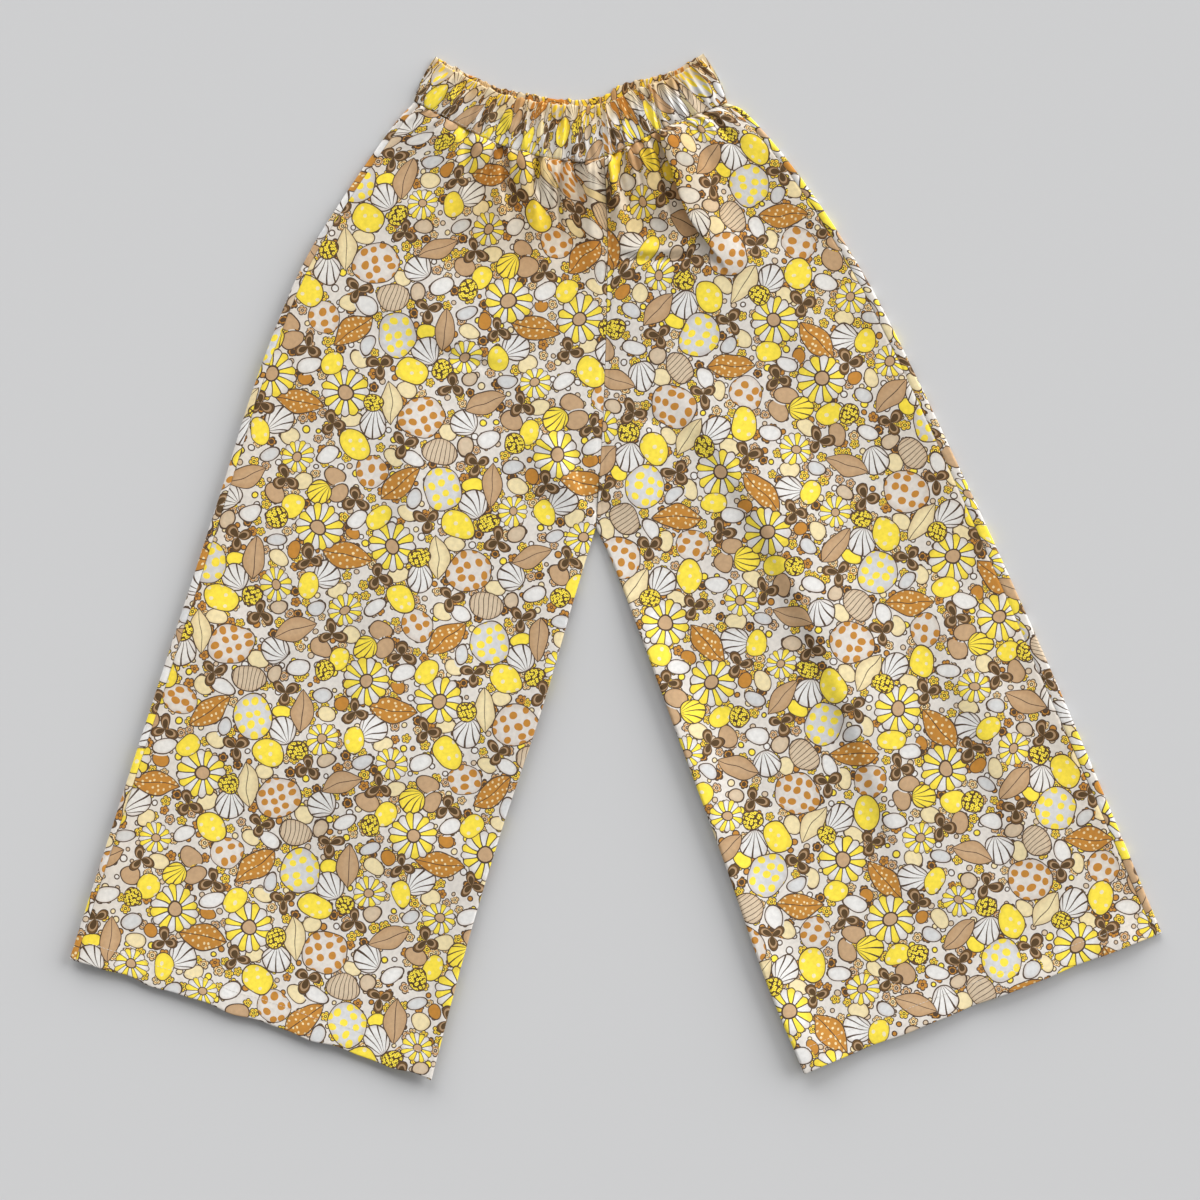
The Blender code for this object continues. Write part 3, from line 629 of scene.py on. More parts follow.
# Painted shade below the casing, where the gathers shade each other, and a warmer, darker tone
# along the outseam: how much, and over which reaches.
SHADE_BELOW_CASING = 0.60
SHADE_ACROSS_CASING = (0.20, 0.55)
SHADE_DOWN_FROM_CASING = (0.060, 0.190)
OUTSEAM_TINT = 0.26
OUTSEAM_TINT_REACH = 0.035


def smooth_line(points, steps=40):
    """Dense line through the points: a Catmull-Rom curve with mirrored ends."""
    p = np.array(points, dtype=float)
    p = np.vstack((2 * p[0] - p[1], p, 2 * p[-1] - p[-2]))
    t = np.linspace(0.0, 1.0, steps, endpoint=False)[:, None]
    runs = []
    for a, b, c, d in zip(p[:-3], p[1:-2], p[2:-1], p[3:]):
        runs.append(0.5 * (2 * b + (c - a) * t + (2 * a - 5 * b + 4 * c - d) * t ** 2
                           + (3 * b - a - 3 * c + d) * t ** 3))
    runs.append(p[-2][None, :])
    return np.vstack(runs)


def distance_along(line):
    return np.concatenate(([0.0], np.cumsum(np.linalg.norm(np.diff(line, axis=0), axis=1))))


def point_at(line, share):
    """Points at those shares of the line's length."""
    run = distance_along(line)
    s = np.asarray(share) * run[-1]
    return np.stack((np.interp(s, run, line[:, 0]), np.interp(s, run, line[:, 1])), axis=-1)


def ease(low, high, value):
    t = np.clip((np.asarray(value, dtype=float) - low) / (high - low), 0.0, 1.0)
    return t * t * (3.0 - 2.0 * t)


def bell(off, half):
    return np.exp(-(off / half) ** 2)


def unit(ways):
    """The same directions at length 1."""
    return ways / np.linalg.norm(ways, axis=-1, keepdims=True)


def quarter_turn(radius, bend, share):
    """Run, rise and turn on a quarter turn that is opened out to a share of its bend."""
    bend = np.maximum(bend, 1e-3)
    turn = bend * math.pi / 2 * share
    opened = radius / bend
    return opened * np.sin(turn), opened * (1.0 - np.cos(turn)), turn


centre_line = smooth_line(CENTRE_SEAM)
waist_line = smooth_line(WAIST_SEAM)
waist_run = distance_along(waist_line)
at_centre = np.argmin(np.linalg.norm(waist_line - centre_line[0], axis=1))
centre_share = waist_run[at_centre] / waist_run[-1]


class Leg:
    """Rows down one leg as it lies, and what its front and its back share on each row: the
    distance below the waist, both edges, the roll over the outseam, and where the bend at the
    inseam begins.  The bend's whole turn, and the way across, are those of the hem's row."""

    def __init__(self, side):
        self.side = side
        outseam, inseam = smooth_line(OUTSEAM[side]), smooth_line(INSEAM[side])
        length, level = distance_along(outseam)[-1], CROTCH_LEVEL[side]
        down = [0.0]
        while down[-1] < length:
            away = (down[-1], abs(down[-1] - level * length), length - down[-1])
            spaces = [least + more * float(ease(0.0, reach, off))
                      for (least, more, reach), off in zip(ROW_STEPS, away)]
            down.append(down[-1] + min(spaces))
        down = np.array(down[:-1])
        self.down = down = down / down[-1]
        self.below = (down * length)[:, None]
        self.outer = point_at(outseam, down)
        above = point_at(centre_line, np.clip(down / level, 0.0, 1.0))
        under = point_at(inseam, np.clip((down - level) / (1.0 - level), 0.0, 1.0))
        self.inner = np.where((down <= level)[:, None], above, under)
        self.inner[:, 0] += (-0.5 if side == "right" else 0.5) * SEAM_GAP
        self.width = np.linalg.norm(self.inner - self.outer, axis=1)[:, None]
        self.row_way = unit(self.inner[-1] - self.outer[-1])
        self.roll = np.interp(down, ROLL_PLACES, OUTSEAM_ROLL[side])[:, None]
        stretch = CROTCH_EASE / length
        self.bend = ease(level - stretch, level + 0.25 * stretch, down)[:, None]
        run, _, turn = quarter_turn(INSEAM_RADIUS, self.bend, 1.0)
        self.turn = float(turn[-1, 0])
        self.begin = self.width - 0.5 * CLOTH * np.sin(turn) - run


legs = {side: Leg(side) for side in ("right", "left")}


def waist_share(leg, across):
    """Share of the waist seam for each place across a panel."""
    across = np.clip(across, 0.0, 1.0)
    return across * centre_share if leg.side == "right" else 1.0 - across * (1.0 - centre_share)


def lay(leg, inset):
    """Plan positions at insets from the outer edge, one row of insets for each row of the leg."""
    across = inset / leg.width
    along_waist = np.clip(across, 0.0, 1.0)[..., None]
    corner = waist_line[0 if leg.side == "right" else -1]
    straight = corner * (1.0 - along_waist) + point_at(waist_line, centre_share) * along_waist
    bulge = point_at(waist_line, waist_share(leg, across)) - straight
    bulge[..., 1] -= WAIST_GAP + CORNER_GAP * bell(inset, CORNER_REACH)
    fade = (1.0 - ease(0.0, WAIST_FADE, leg.down))[:, None, None]
    plan = leg.outer[:, None] + (leg.inner - leg.outer)[:, None] * across[..., None]
    return plan + bulge * fade, across


def inseam_curl(leg, start, way):
    """Points on the bend at the inseam, which turns down (way -1) or up (1) from a height."""
    curl = []
    for step in range(1, CURL_STEPS + 1):
        run, rise, _ = quarter_turn(INSEAM_RADIUS, leg.bend, step / CURL_STEPS)
        curl.append(np.dstack((lay(leg, leg.begin + run)[0], start[:, None] + way * rise)))
    return np.concatenate(curl, axis=1)


def inseam_ways(leg, way):
    """The directions into the hem's fold along that bend."""
    turns = [leg.turn * step / CURL_STEPS for step in range(1, CURL_STEPS + 1)]
    return [(*(-math.sin(turn) * leg.row_way), way * math.cos(turn)) for turn in turns]


def beside(line, x, y):
    """Share along a line of points, and distance to its left, for each place."""
    run = distance_along(line)
    best = np.full(x.shape, 1e9)
    share = np.zeros(x.shape)
    left = np.zeros(x.shape)
    last = len(line) - 2
    for i, (a, b) in enumerate(zip(line[:-1], line[1:])):
        way = unit(b - a)
        ahead = (x - a[0]) * way[0] + (y - a[1]) * way[1]
        off = (x - a[0]) * -way[1] + (y - a[1]) * way[0]
        low = -1e9 if i == 0 else 0.0
        high = 1e9 if i == last else run[i + 1] - run[i]
        held = np.clip(ahead, low, high)
        far = np.hypot(ahead - held, off)
        nearer = far < best
        best = np.where(nearer, far, best)
        share = np.where(nearer, (run[i] + held) / run[-1], share)
        left = np.where(nearer, np.where(off < 0.0, -far, far), left)
    return share, left


def along_fold(points, x, y):
    """How full a fold is at each place along it, and the distance to the left of its line."""
    line = smooth_line(points, 6) if len(points) > 2 else np.array(points)
    share, left = beside(line, x, y)
    begins, full, fades, gone = FOLD_ENDS
    return ease(begins, full, share) * (1.0 - ease(fades, gone, share)), left


def fold_height(points, height, left_width, right_width, x, y):
    full, left = along_fold(points, x, y)
    return height * full * bell(left, np.where(left < 0.0, right_width, left_width))


def lap_over(x, y):
    """Plan shift that lays the fold under the casing over towards the centre front."""
    full, left = along_fold(LAP_LINE, x, y)
    off = left - LAP_CREST
    push = LAP_SHIFT * full * bell(off, np.where(off < 0.0, LAP_LEFT, LAP_RIGHT))
    way = unit(np.subtract(LAP_LINE[-1], LAP_LINE[0]))
    return push * way[1], -push * way[0]


def cloth_waves(x, y):
    """Slight uneven waves of laid cloth."""
    height = np.zeros(x.shape)
    shortest, longest = WAVE_LENGTHS
    for i in range(WAVES):
        length = shortest * (longest / shortest) ** (i / (WAVES - 1))
        way = WAVE_TURN * i
        run = x * math.cos(way) + y * math.sin(way)
        height += length * WAVE_SHARE * np.sin(2 * math.pi * run / length + WAVE_PHASE * i * i)
    return height


def edge_lift(leg, inset):
    outer, inner = EDGE_LIFT[leg.side]
    level = CROTCH_LEVEL[leg.side]
    on_hips = ease(*LIFT_ON_HIPS, leg.down)[:, None]
    on_leg = ease(level, level + LIFT_ON_LEG, leg.down)[:, None]
    return (outer * on_hips * bell(inset, EDGE_LIFT_REACH)
            + inner * on_leg * bell(leg.width - inset, EDGE_LIFT_REACH))


def ruche_rows(seed, share, up):
    """Height of the ruches and how they pinch the print, over the band's own grid."""
    height = np.zeros(np.broadcast(share, up).shape)
    pinch = np.zeros_like(height)
    for i in range(RUCHES):
        one, two, three = (math.sin(pace * (i + seed)) * spread % 1.0
                           for pace, spread in RUCHE_SCATTER)
        place = (i + 0.5 + 0.7 * (one - 0.5)) / RUCHES
        lean = (two - 0.5) * 0.9 / RUCHES
        half = (0.26 + 0.20 * three) / RUCHES
        start, end = -0.2, 1.2
        if three >= 0.55:         # this one stops short, at its top or at its foot
            start, end = (start, 0.45 + one) if one < 0.5 else (one - 0.5, end)
        line = place + lean * (up - 0.5) + 0.12 / RUCHES * np.sin(5.0 * up + 9.0 * one)
        reach = ease(start - 0.12, start + 0.12, up) * (1.0 - ease(end - 0.2, end + 0.1, up))
        rise = (0.55 + 0.75 * two) * reach
        height = height + rise * bell(share - line, half)
        pinch = pinch + rise * bell(share - line - 0.5 / RUCHES, 0.22 / RUCHES)
    return height, pinch


def front_heights(leg, inset, across, x, y):
    """Mid-height of the front cloth, and how strongly the gathers pinch it."""
    seam = np.minimum(1.0, 2.0 * leg.bend)
    near_edge = bell(inset, EDGE_REACH)
    far_edge = bell(leg.width - inset, EDGE_REACH) * seam
    near_hem = ease(*HEM_RISE, leg.down)[:, None]
    rest = np.maximum(np.maximum(near_edge, far_edge), near_hem)
    free = 1.0 - rest
    height = FRONT_LIE + (EDGE_TOP - FRONT_LIE) * rest
    height = height + free * WAIST_RISE * bell(leg.below, WAIST_RISE_REACH)
    for place, rise, half, reach in GATHERS[leg.side]:
        fade = (1.0 - ease(GATHER_HOLD, 1.0, leg.below / reach)) * ease(*GATHER_RISE, leg.below)
        height = height + GATHER_GROWTH * rise * fade * bell(across - place, half)
    pinch = np.zeros_like(height)
    for place, rise, half, reach in PLEATS[leg.side]:
        run = leg.below / (reach * PLEAT_STRETCH)
        fade = (1.0 - ease(GATHER_HOLD, 1.0, run)) * ease(*PLEAT_RISE, leg.below)
        bump = bell((across - place) * leg.width, half)
        height = height + PLEAT_GROWTH * rise * fade * bump
        if rise < 0.0:
            pinch = pinch + bump * (1.0 - ease(*PINCH_FADE, run))
    ruches, squeezed = ruche_rows(CASING_SEED, waist_share(leg, across), 0.0)
    fade = np.exp(-leg.below / RUCHE_RUN)
    height = height + RUCHE_HEIGHT * (ruches - 0.5) * fade
    pinch = pinch + squeezed * fade
    for points, rise, left_width, right_width in FOLDS:
        held = free if rise > 0.0 else np.sqrt(free)
        height = height + held * fold_height(points, rise, left_width, right_width, x, y)
    waves = cloth_waves(x, y) * ease(0.0, WAVE_START, leg.below)
    height = height + (WAVES_AT_EDGE + (1.0 - WAVES_AT_EDGE) * free) * waves
    height = height - SEAM_DIP * bell(leg.below, SEAM_DIP_REACH) + edge_lift(leg, inset)
    height = LEAST_LIE + SOFT_STOP * np.log1p(np.exp((height - LEAST_LIE) / SOFT_STOP))
    return height, pinch


def pattern_places(name, leg, points, pinch, start_column):
    """Where each point of the cloth was on the flat printed length."""
    plan = points[..., :2]
    drawn = DRAW_IN_SHARES[0] + DRAW_IN_SHARES[1] * np.minimum(pinch, 1.0)
    drawn = DRAW_IN * np.exp(-leg.below / DRAW_IN_REACH) * drawn
    flat_run = np.linalg.norm(np.diff(points, axis=1), axis=2)
    flat_run = flat_run * (1.0 + 0.5 * (drawn[:, 1:] + drawn[:, :-1]))
    across = np.concatenate((np.zeros((len(points), 1)), np.cumsum(flat_run, axis=1)), axis=1)
    across = across - across[:, start_column][:, None]
    anchor = plan[:, start_column][:, None]
    row_way = unit(plan[:, -1] - plan[:, 0])
    straight = plan - anchor
    off_row = straight - (straight @ row_way[..., None]) * row_way[:, None]
    place = anchor + across[..., None] * row_way[:, None] + off_row
    turn = GRAIN[leg.side]
    grain = np.array(((math.cos(turn), -math.sin(turn)), (math.sin(turn), math.cos(turn))))
    return place @ grain + PRINT_START[name]


waist_prints = {}         # how the print meets the waist seam, for the casing to run on
hem_rows = {}             # the line of the hem's stitches on each leg, with its way out
HEM_STITCH_UP = 0.022
WAY_ROWS = 5              # rows over which a direction at the waist or the hem is taken
WAY_POINTS = 9            # points over which the print on the casing runs on at its ends


def note_waist(name, points, marks):
    share = beside(waist_line, points[0, :, 0], points[0, :, 1])[0]
    order = np.argsort(share)
    upward = unit((marks[0] - marks[WAY_ROWS]).mean(axis=0))
    waist_prints[name] = share[order], marks[0][order], upward


def note_hem(name, points, out):
    """The row of points that is HEM_STITCH_UP above the hem, on the printed side."""
    away = np.linalg.norm(points[::-1] - points[-1], axis=2).mean(axis=1)
    row = points[-1 - int(np.argmin(np.abs(away - HEM_STITCH_UP)))].copy()
    row[:, 2] += out * CLOTH / 2
    hem_rows[name] = row, out


def wave_hem(leg, points, lift):
    """Lets the hem run a little uneven, fading out up the leg."""
    tail = ease(HEM_WAVE_START, 1.0, leg.down)[:, None]
    run = np.linalg.norm(points[-1, :, :2] - points[-1, 0, :2], axis=1)
    push = sum(size * np.sin(2 * math.pi * run / length + phase)
               for length, size, phase in HEM_WAVE[leg.side])
    way = unit(points[-1, :, :2] - points[-1 - WAY_ROWS, :, :2])
    points[..., :2] += tail[..., None] * (push[:, None] * way)
    held = ease(0.0, HEM_WAVE_FADE, run) * ease(0.0, HEM_WAVE_FADE, run[-1] - run)
    length, phase = HEM_LIFT_WAVE
    scallop = 0.5 + 0.5 * np.abs(np.sin(2 * math.pi * run / length + phase))
    points[..., 2] += lift * tail * held * scallop
    return points


def add_hem(points, flats, inward):
    """Carries the cloth round the hem fold and up inside the leg, close under it."""
    fold = (CLOTH + HEM_GAP) / 2
    way = points[-1] - points[-2]
    way[:, 2] = 0.0
    way = unit(way)
    last = points[-1] - way * (fold + CLOTH / 2)
    rows, marks = [*points[:-1], last], [*flats]
    down = unit(flats[-1] - flats[-2])
    for step in range(1, HEM_FOLD_STEPS + 1):
        turn = math.pi * step / HEM_FOLD_STEPS
        rows.append(last + way * fold * math.sin(turn) + inward * fold * (1.0 - math.cos(turn)))
        marks.append(flats[-1] + down * fold * turn)
    away = np.linalg.norm(points[::-1] - points[-1], axis=2).mean(axis=1)
    for back in HEM_ROWS:
        row = np.interp(back + fold, away, np.arange(len(away)))
        low = int(row)
        over = points[-1 - low] + (points[-2 - low] - points[-1 - low]) * (row - low)
        rows.append(over + inward * 2 * fold)
        marks.append(flats[-1] + down * (fold * math.pi + back))
    return np.array(rows), np.array(marks)


def shade_and_tint_on_front(leg, across, inset):
    """Painted shade below the casing, where the gathers shade each other, and a warmer, darker tone
    along the outseam.
    """
    at_waist = ease(*SHADE_ACROSS_CASING, across) * (1.0 - ease(*SHADE_DOWN_FROM_CASING, leg.below))
    at_edge = np.exp(-np.maximum(inset, 0.0) / OUTSEAM_TINT_REACH)
    return SHADE_BELOW_CASING * at_waist + OUTSEAM_TINT * at_edge


def new_piece(name, places, faces, materials, flat=None, shade_and_tint=None):
    """A smooth piece at the origin, with its places on the flat print and its painted shade and
    tint.
    """
    mesh = bpy.data.meshes.new(name)
    mesh.from_pydata(places, [], faces)
    if flat is not None:
        mesh.uv_layers.new(name="pattern").data.foreach_set("uv", flat.ravel())
    if shade_and_tint is not None:
        mesh.attributes.new("shade_and_tint", "FLOAT", "POINT").data.foreach_set("value", shade_and_tint.ravel())
    for material in materials:
        mesh.materials.append(material)
    mesh.shade_smooth()
    piece = bpy.data.objects.new(name, mesh)
    bpy.context.scene.collection.objects.link(piece)
    return piece


def sheet_piece(name, points, marks, outside, shade_and_tint=None):
    """Closed thin shell through a grid of points: printed outside, bare cloth inside."""
    rows, columns = points.shape[:2]
    under = rows * columns
    normal = unit(np.cross(np.gradient(points, axis=0), np.gradient(points, axis=1)) * outside)
    places = np.concatenate((points + normal * CLOTH / 2, points - normal * CLOTH / 2))
    number = np.arange(under).reshape(rows, columns)
    outer = np.stack((number[:-1, :-1], number[1:, :-1], number[1:, 1:], number[:-1, 1:]), axis=-1)
    outer = outer.reshape(-1, 4)
    rim = np.concatenate((number[0, :], number[1:, -1], number[-1, -2::-1], number[-2:0:-1, 0]))
    after = np.roll(rim, -1)
    edge = np.stack((rim, after, after + under, rim + under), axis=1)
    if outside < 0:
        outer, edge = np.roll(outer[:, ::-1], 1, axis=1), edge[:, ::-1]
    faces = np.concatenate((outer, outer[:, ::-1] + under, edge))
    if shade_and_tint is not None:
        shade_and_tint = np.tile(np.pad(shade_and_tint, ((0, rows - len(shade_and_tint)), (0, 0)), mode="edge"), (2, 1))
    flat = np.concatenate((marks, marks)).reshape(-1, 2)[faces.ravel()]
    piece = new_piece(name, places.reshape(-1, 3).tolist(), faces.tolist(),
                      (printed_cotton, wrong_side), flat, shade_and_tint)
    side_of = np.zeros(len(faces), dtype=np.int32)
    side_of[len(outer):2 * len(outer)] = 1
    piece.data.polygons.foreach_set("material_index", side_of)
    piece.data.update()
    return piece


def make_front(side):
    leg, name, columns = legs[side], "front_" + side, FRONT_COLUMNS[side]
    first = BACK_LIE + (EDGE_TOP - BACK_LIE) / 2 + leg.roll + SEAM_GAP
    near, far = first + SEAM_MARGIN, leg.begin - SEAM_MARGIN
    inset = np.concatenate((first + SEAM_COLUMNS,
                            near + (far - near) * np.linspace(0.0, 1.0, columns),
                            leg.begin - SEAM_COLUMNS[::-1]), axis=1)
    plan, across = lay(leg, inset)
    x, y = plan[..., 0], plan[..., 1]
    height, pinch = front_heights(leg, inset, across, x, y)
    dip = bell(inset - first, SEAM_DIP_REACH)
    dip = dip + (1.0 - leg.bend) * bell(leg.begin - inset, SEAM_DIP_REACH)
    shift_x, shift_y = lap_over(x, y)
    points = np.dstack((x + shift_x, y + shift_y, height - SEAM_DIP * dip))
    points = np.concatenate((points, inseam_curl(leg, points[:, -1, 2], -1.0)), axis=1)
    pinch = np.pad(pinch, ((0, 0), (0, CURL_STEPS)))
    marks = pattern_places(name, leg, points, pinch, len(SEAM_COLUMNS) + columns // 2)
    # Painted shade below the casing and a warmer, darker tone along the outseam, as a value on each
    # point.
    shade_and_tint = np.pad(shade_and_tint_on_front(leg, across, inset), ((0, 0), (0, CURL_STEPS)), mode="edge")
    note_waist(name, points, marks)
    points = wave_hem(leg, points, HEM_LIFT[side])
    note_hem(name, points[:, len(SEAM_COLUMNS):-CURL_STEPS - len(SEAM_COLUMNS)], 1.0)
    inward = np.zeros((points.shape[1], 3))
    inward[:, 2] = -1.0
    inward[-CURL_STEPS:] = inseam_ways(leg, -1.0)
    points, marks = add_hem(points, marks, inward)
    return sheet_piece("trouser_" + name, points, marks, 1.0 if side == "right" else -1.0, shade_and_tint)


# Cut: 0.41 m wide at the widest and 0.95 m long with its hem, tapering to the waist.
for side in legs:
    front = make_front(side)
    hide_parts("front_" + side)
    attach(front, "root")


# ---------------------------------------------------------------- backs of the two legs
# Each back is cut like its front and lies flat on the table.  At the outseam it rolls over
# the edge on to the front, so a narrow strip of it shows from above.
BACK_COLUMNS = 96
STRIP_SHARES = np.array([0.0, 0.06, 0.14, 0.24, 0.40, 0.60, 0.80])
ROLL_STEPS = 10
EDGE_SHARES = np.linspace(0.004, 0.020, 4)
BACK_GATHERS = {"right": 15, "left": 11}
BACK_GATHER_HEIGHT = 0.0011
BACK_GATHER_FADE = 0.020


def back_lift(leg, across):
    """How far the back cloth lifts off the table: small gathers under the casing."""
    lift = np.zeros_like(across)
    count = BACK_GATHERS[leg.side]
    for i in range(count):
        place = (i + 0.5 + 0.28 * math.sin(2.3 * i + 0.4)) / count
        half = 0.0042 + 0.0014 * math.sin(3.1 * i + 1.0)
        reach = 0.060 + 0.030 * math.sin(1.7 * i)
        rise = BACK_GATHER_HEIGHT * (0.8 + 0.35 * math.sin(4.7 * i + 2.0))
        fade = 1.0 - ease(0.2, 1.0, leg.below / reach)
        lift = lift + rise * fade * bell((across - place) * leg.width, half)
    return lift


def make_back(side):
    leg, name = legs[side], "back_" + side
    radius = (EDGE_TOP - BACK_LIE) / 2
    middle = BACK_LIE + radius
    strip = leg.roll * STRIP_SHARES
    turns = math.pi * (0.5 - np.arange(ROLL_STEPS + 1) / ROLL_STEPS)
    flats = np.concatenate((EDGE_SHARES, np.linspace(0.03, 1.0, BACK_COLUMNS)))
    full = np.ones_like(leg.width)
    inset = np.concatenate((middle + leg.roll - strip, (middle - radius * np.cos(turns)) * full,
                            middle + (leg.begin - middle) * flats), axis=1)
    height = np.concatenate((EDGE_TOP - SEAM_DIP * bell(strip, SEAM_DIP_REACH),
                             (middle + radius * np.sin(turns)) * full,
                             BACK_LIE * full * np.ones_like(flats)), axis=1)
    first_roll = len(STRIP_SHARES)
    first_flat = first_roll + ROLL_STEPS + 1
    plan, across = lay(leg, inset)
    lift = back_lift(leg, across) * ease(0.0, BACK_GATHER_FADE, inset - middle)
    lift *= ease(0.0, BACK_GATHER_FADE, leg.begin - inset)
    lift[:, :first_flat] = 0.0
    height = height + lift + edge_lift(leg, inset)
    points = np.dstack((plan, height))
    points = np.concatenate((points, inseam_curl(leg, height[:, -1], 1.0)), axis=1)
    marks = pattern_places(name, leg, points, np.zeros(points.shape[:2]),
                           first_flat + BACK_COLUMNS // 2)
    note_waist(name, points[:, first_flat:], marks[:, first_flat:])
    points = wave_hem(leg, points, 0.0)
    note_hem(name, points[:, first_flat + len(EDGE_SHARES):-CURL_STEPS], -1.0)
    inward = np.zeros((points.shape[1], 3))
    inward[:first_roll, 2] = -1.0
    inward[first_roll:first_flat] = [(*(math.cos(turn) * leg.row_way), -math.sin(turn))
                                     for turn in turns]
    inward[first_flat:, 2] = 1.0
    inward[-CURL_STEPS:] = inseam_ways(leg, 1.0)
    points, marks = add_hem(points, marks, inward)
    return sheet_piece("trouser_" + name, points, marks, -1.0 if side == "right" else 1.0)


# Cut as the fronts, a little wider and longer in the seat.
for side in legs:
    back = make_back(side)
    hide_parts("back_" + side)
    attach(back, "root")


# ---------------------------------------------------------------- waistband casing
# The top of the trousers is turned down over 50 mm elastic and sewn round, so the cotton is
# drawn up in fine uneven ruches.  The front half lies on the back half, whose top edge and
# inner face stand a few millimetres above it.
BAND_WALL = 0.0030
BAND_LIFT = 0.0034
FRONT_BAND_TOP = (
    (-0.1690, 0.4800), (-0.1387, 0.4640), (-0.1102, 0.4500), (-0.0722, 0.4415), (-0.0440, 0.4385),
    (-0.0105, 0.4405), (0.0171, 0.4530), (0.0504, 0.4635), (0.0820, 0.4820))
BACK_BAND_TOP = (
    (-0.1710, 0.4840), (-0.1387, 0.4675), (-0.1102, 0.4550), (-0.0722, 0.4475), (-0.0440, 0.4440),
    (-0.0120, 0.4475), (0.0010, 0.4560), (0.0171, 0.4615), (0.0504, 0.4700), (0.0827, 0.4869))
BAND_STATIONS = 640
END_SHARES = np.array([0.0, 0.02, 0.08, 0.2, 0.4, 0.7])
SECTION_STEPS = 36
TOP_FOLD_STEPS = 9
LOWER_EDGE = [(0.010, 0.96), (0.005, 0.88), (0.001, 0.72), (0.000, 0.50), (0.003, 0.30),
              (0.012, 0.10)]
TOP_SCALLOP = 0.0016      # how far the ruches make the top edge rise and fall
SCALLOP_MEAN = 0.8
SCALLOP_FADE = 0.04
SWELL_POWER = 0.35        # how soon the ruches swell between the seam and the top
END_FADE = 0.03
LEAST_EDGE = 0.004        # of the wall, squared, at the casing's ends
SIDE_BULGE = 0.0030
BULGE_REACH = 0.08
BACK_SEED = 8
BACK_RUCHE_HEIGHT = 0.0020
FLAT_RUCHE_HEIGHT = 0.0004    # where a half is pressed between the other and the table
BAND_DRAW_IN = (0.25, 0.45)   # cloth hidden by the elastic: all along, and more in the ruches
CASING_TOP_SHADE = (0.40, 0.92)   # painted warm shade along the top fold of the casing, between these shares of its height


def band_section():
    """Closed section of the casing: share of its height and of its wall, from the seam up
    the underside, over the top fold and down the face."""
    under = [(up, 0.0) for up in np.linspace(0.03, 0.955, SECTION_STEPS // 2)]
    turns = [math.pi * i / TOP_FOLD_STEPS for i in range(1, TOP_FOLD_STEPS)]
    over = [(0.965 + 0.035 * math.sin(turn), 0.5 - 0.5 * math.cos(turn)) for turn in turns]
    face = [(up, 1.0) for up in np.linspace(0.955, 0.018, SECTION_STEPS)]
    return np.array(under + over + face + LOWER_EDGE)


def run_on(values):
    """The values with one more at each end, mirrored from WAY_POINTS further in."""
    before = 2 * values[:1] - values[WAY_POINTS:WAY_POINTS + 1]
    after = 2 * values[-1:] - values[-1 - WAY_POINTS:-WAY_POINTS]
    return np.concatenate((before, values, after))


def print_on_band(which, share, low, pinch, above_seam):
    """The print runs on from each leg up its half of the casing, drawn in by the elastic."""
    run = np.linalg.norm(np.diff(low, axis=0), axis=1)
    hidden = BAND_DRAW_IN[0] + BAND_DRAW_IN[1] * np.minimum(pinch.mean(axis=1), 1.6)
    extra = np.concatenate(([0.0], np.cumsum(run * 0.5 * (hidden[1:] + hidden[:-1]))))
    extra = (extra - np.interp(0.5, share, extra))[:, None]
    marks = np.zeros((*above_seam.shape, 2))
    for side, own in (("right", share <= centre_share), ("left", share > centre_share)):
        known, places, upward = waist_prints[which + "_" + side]
        known, places = run_on(known), run_on(places)
        start = np.stack([np.interp(share[own], known, places[:, i]) for i in (0, 1)], axis=-1)
        start = start + extra[own] * unit(places[-1] - places[0])
        marks[own] = start[:, None] + above_seam[own][..., None] * upward
    return marks


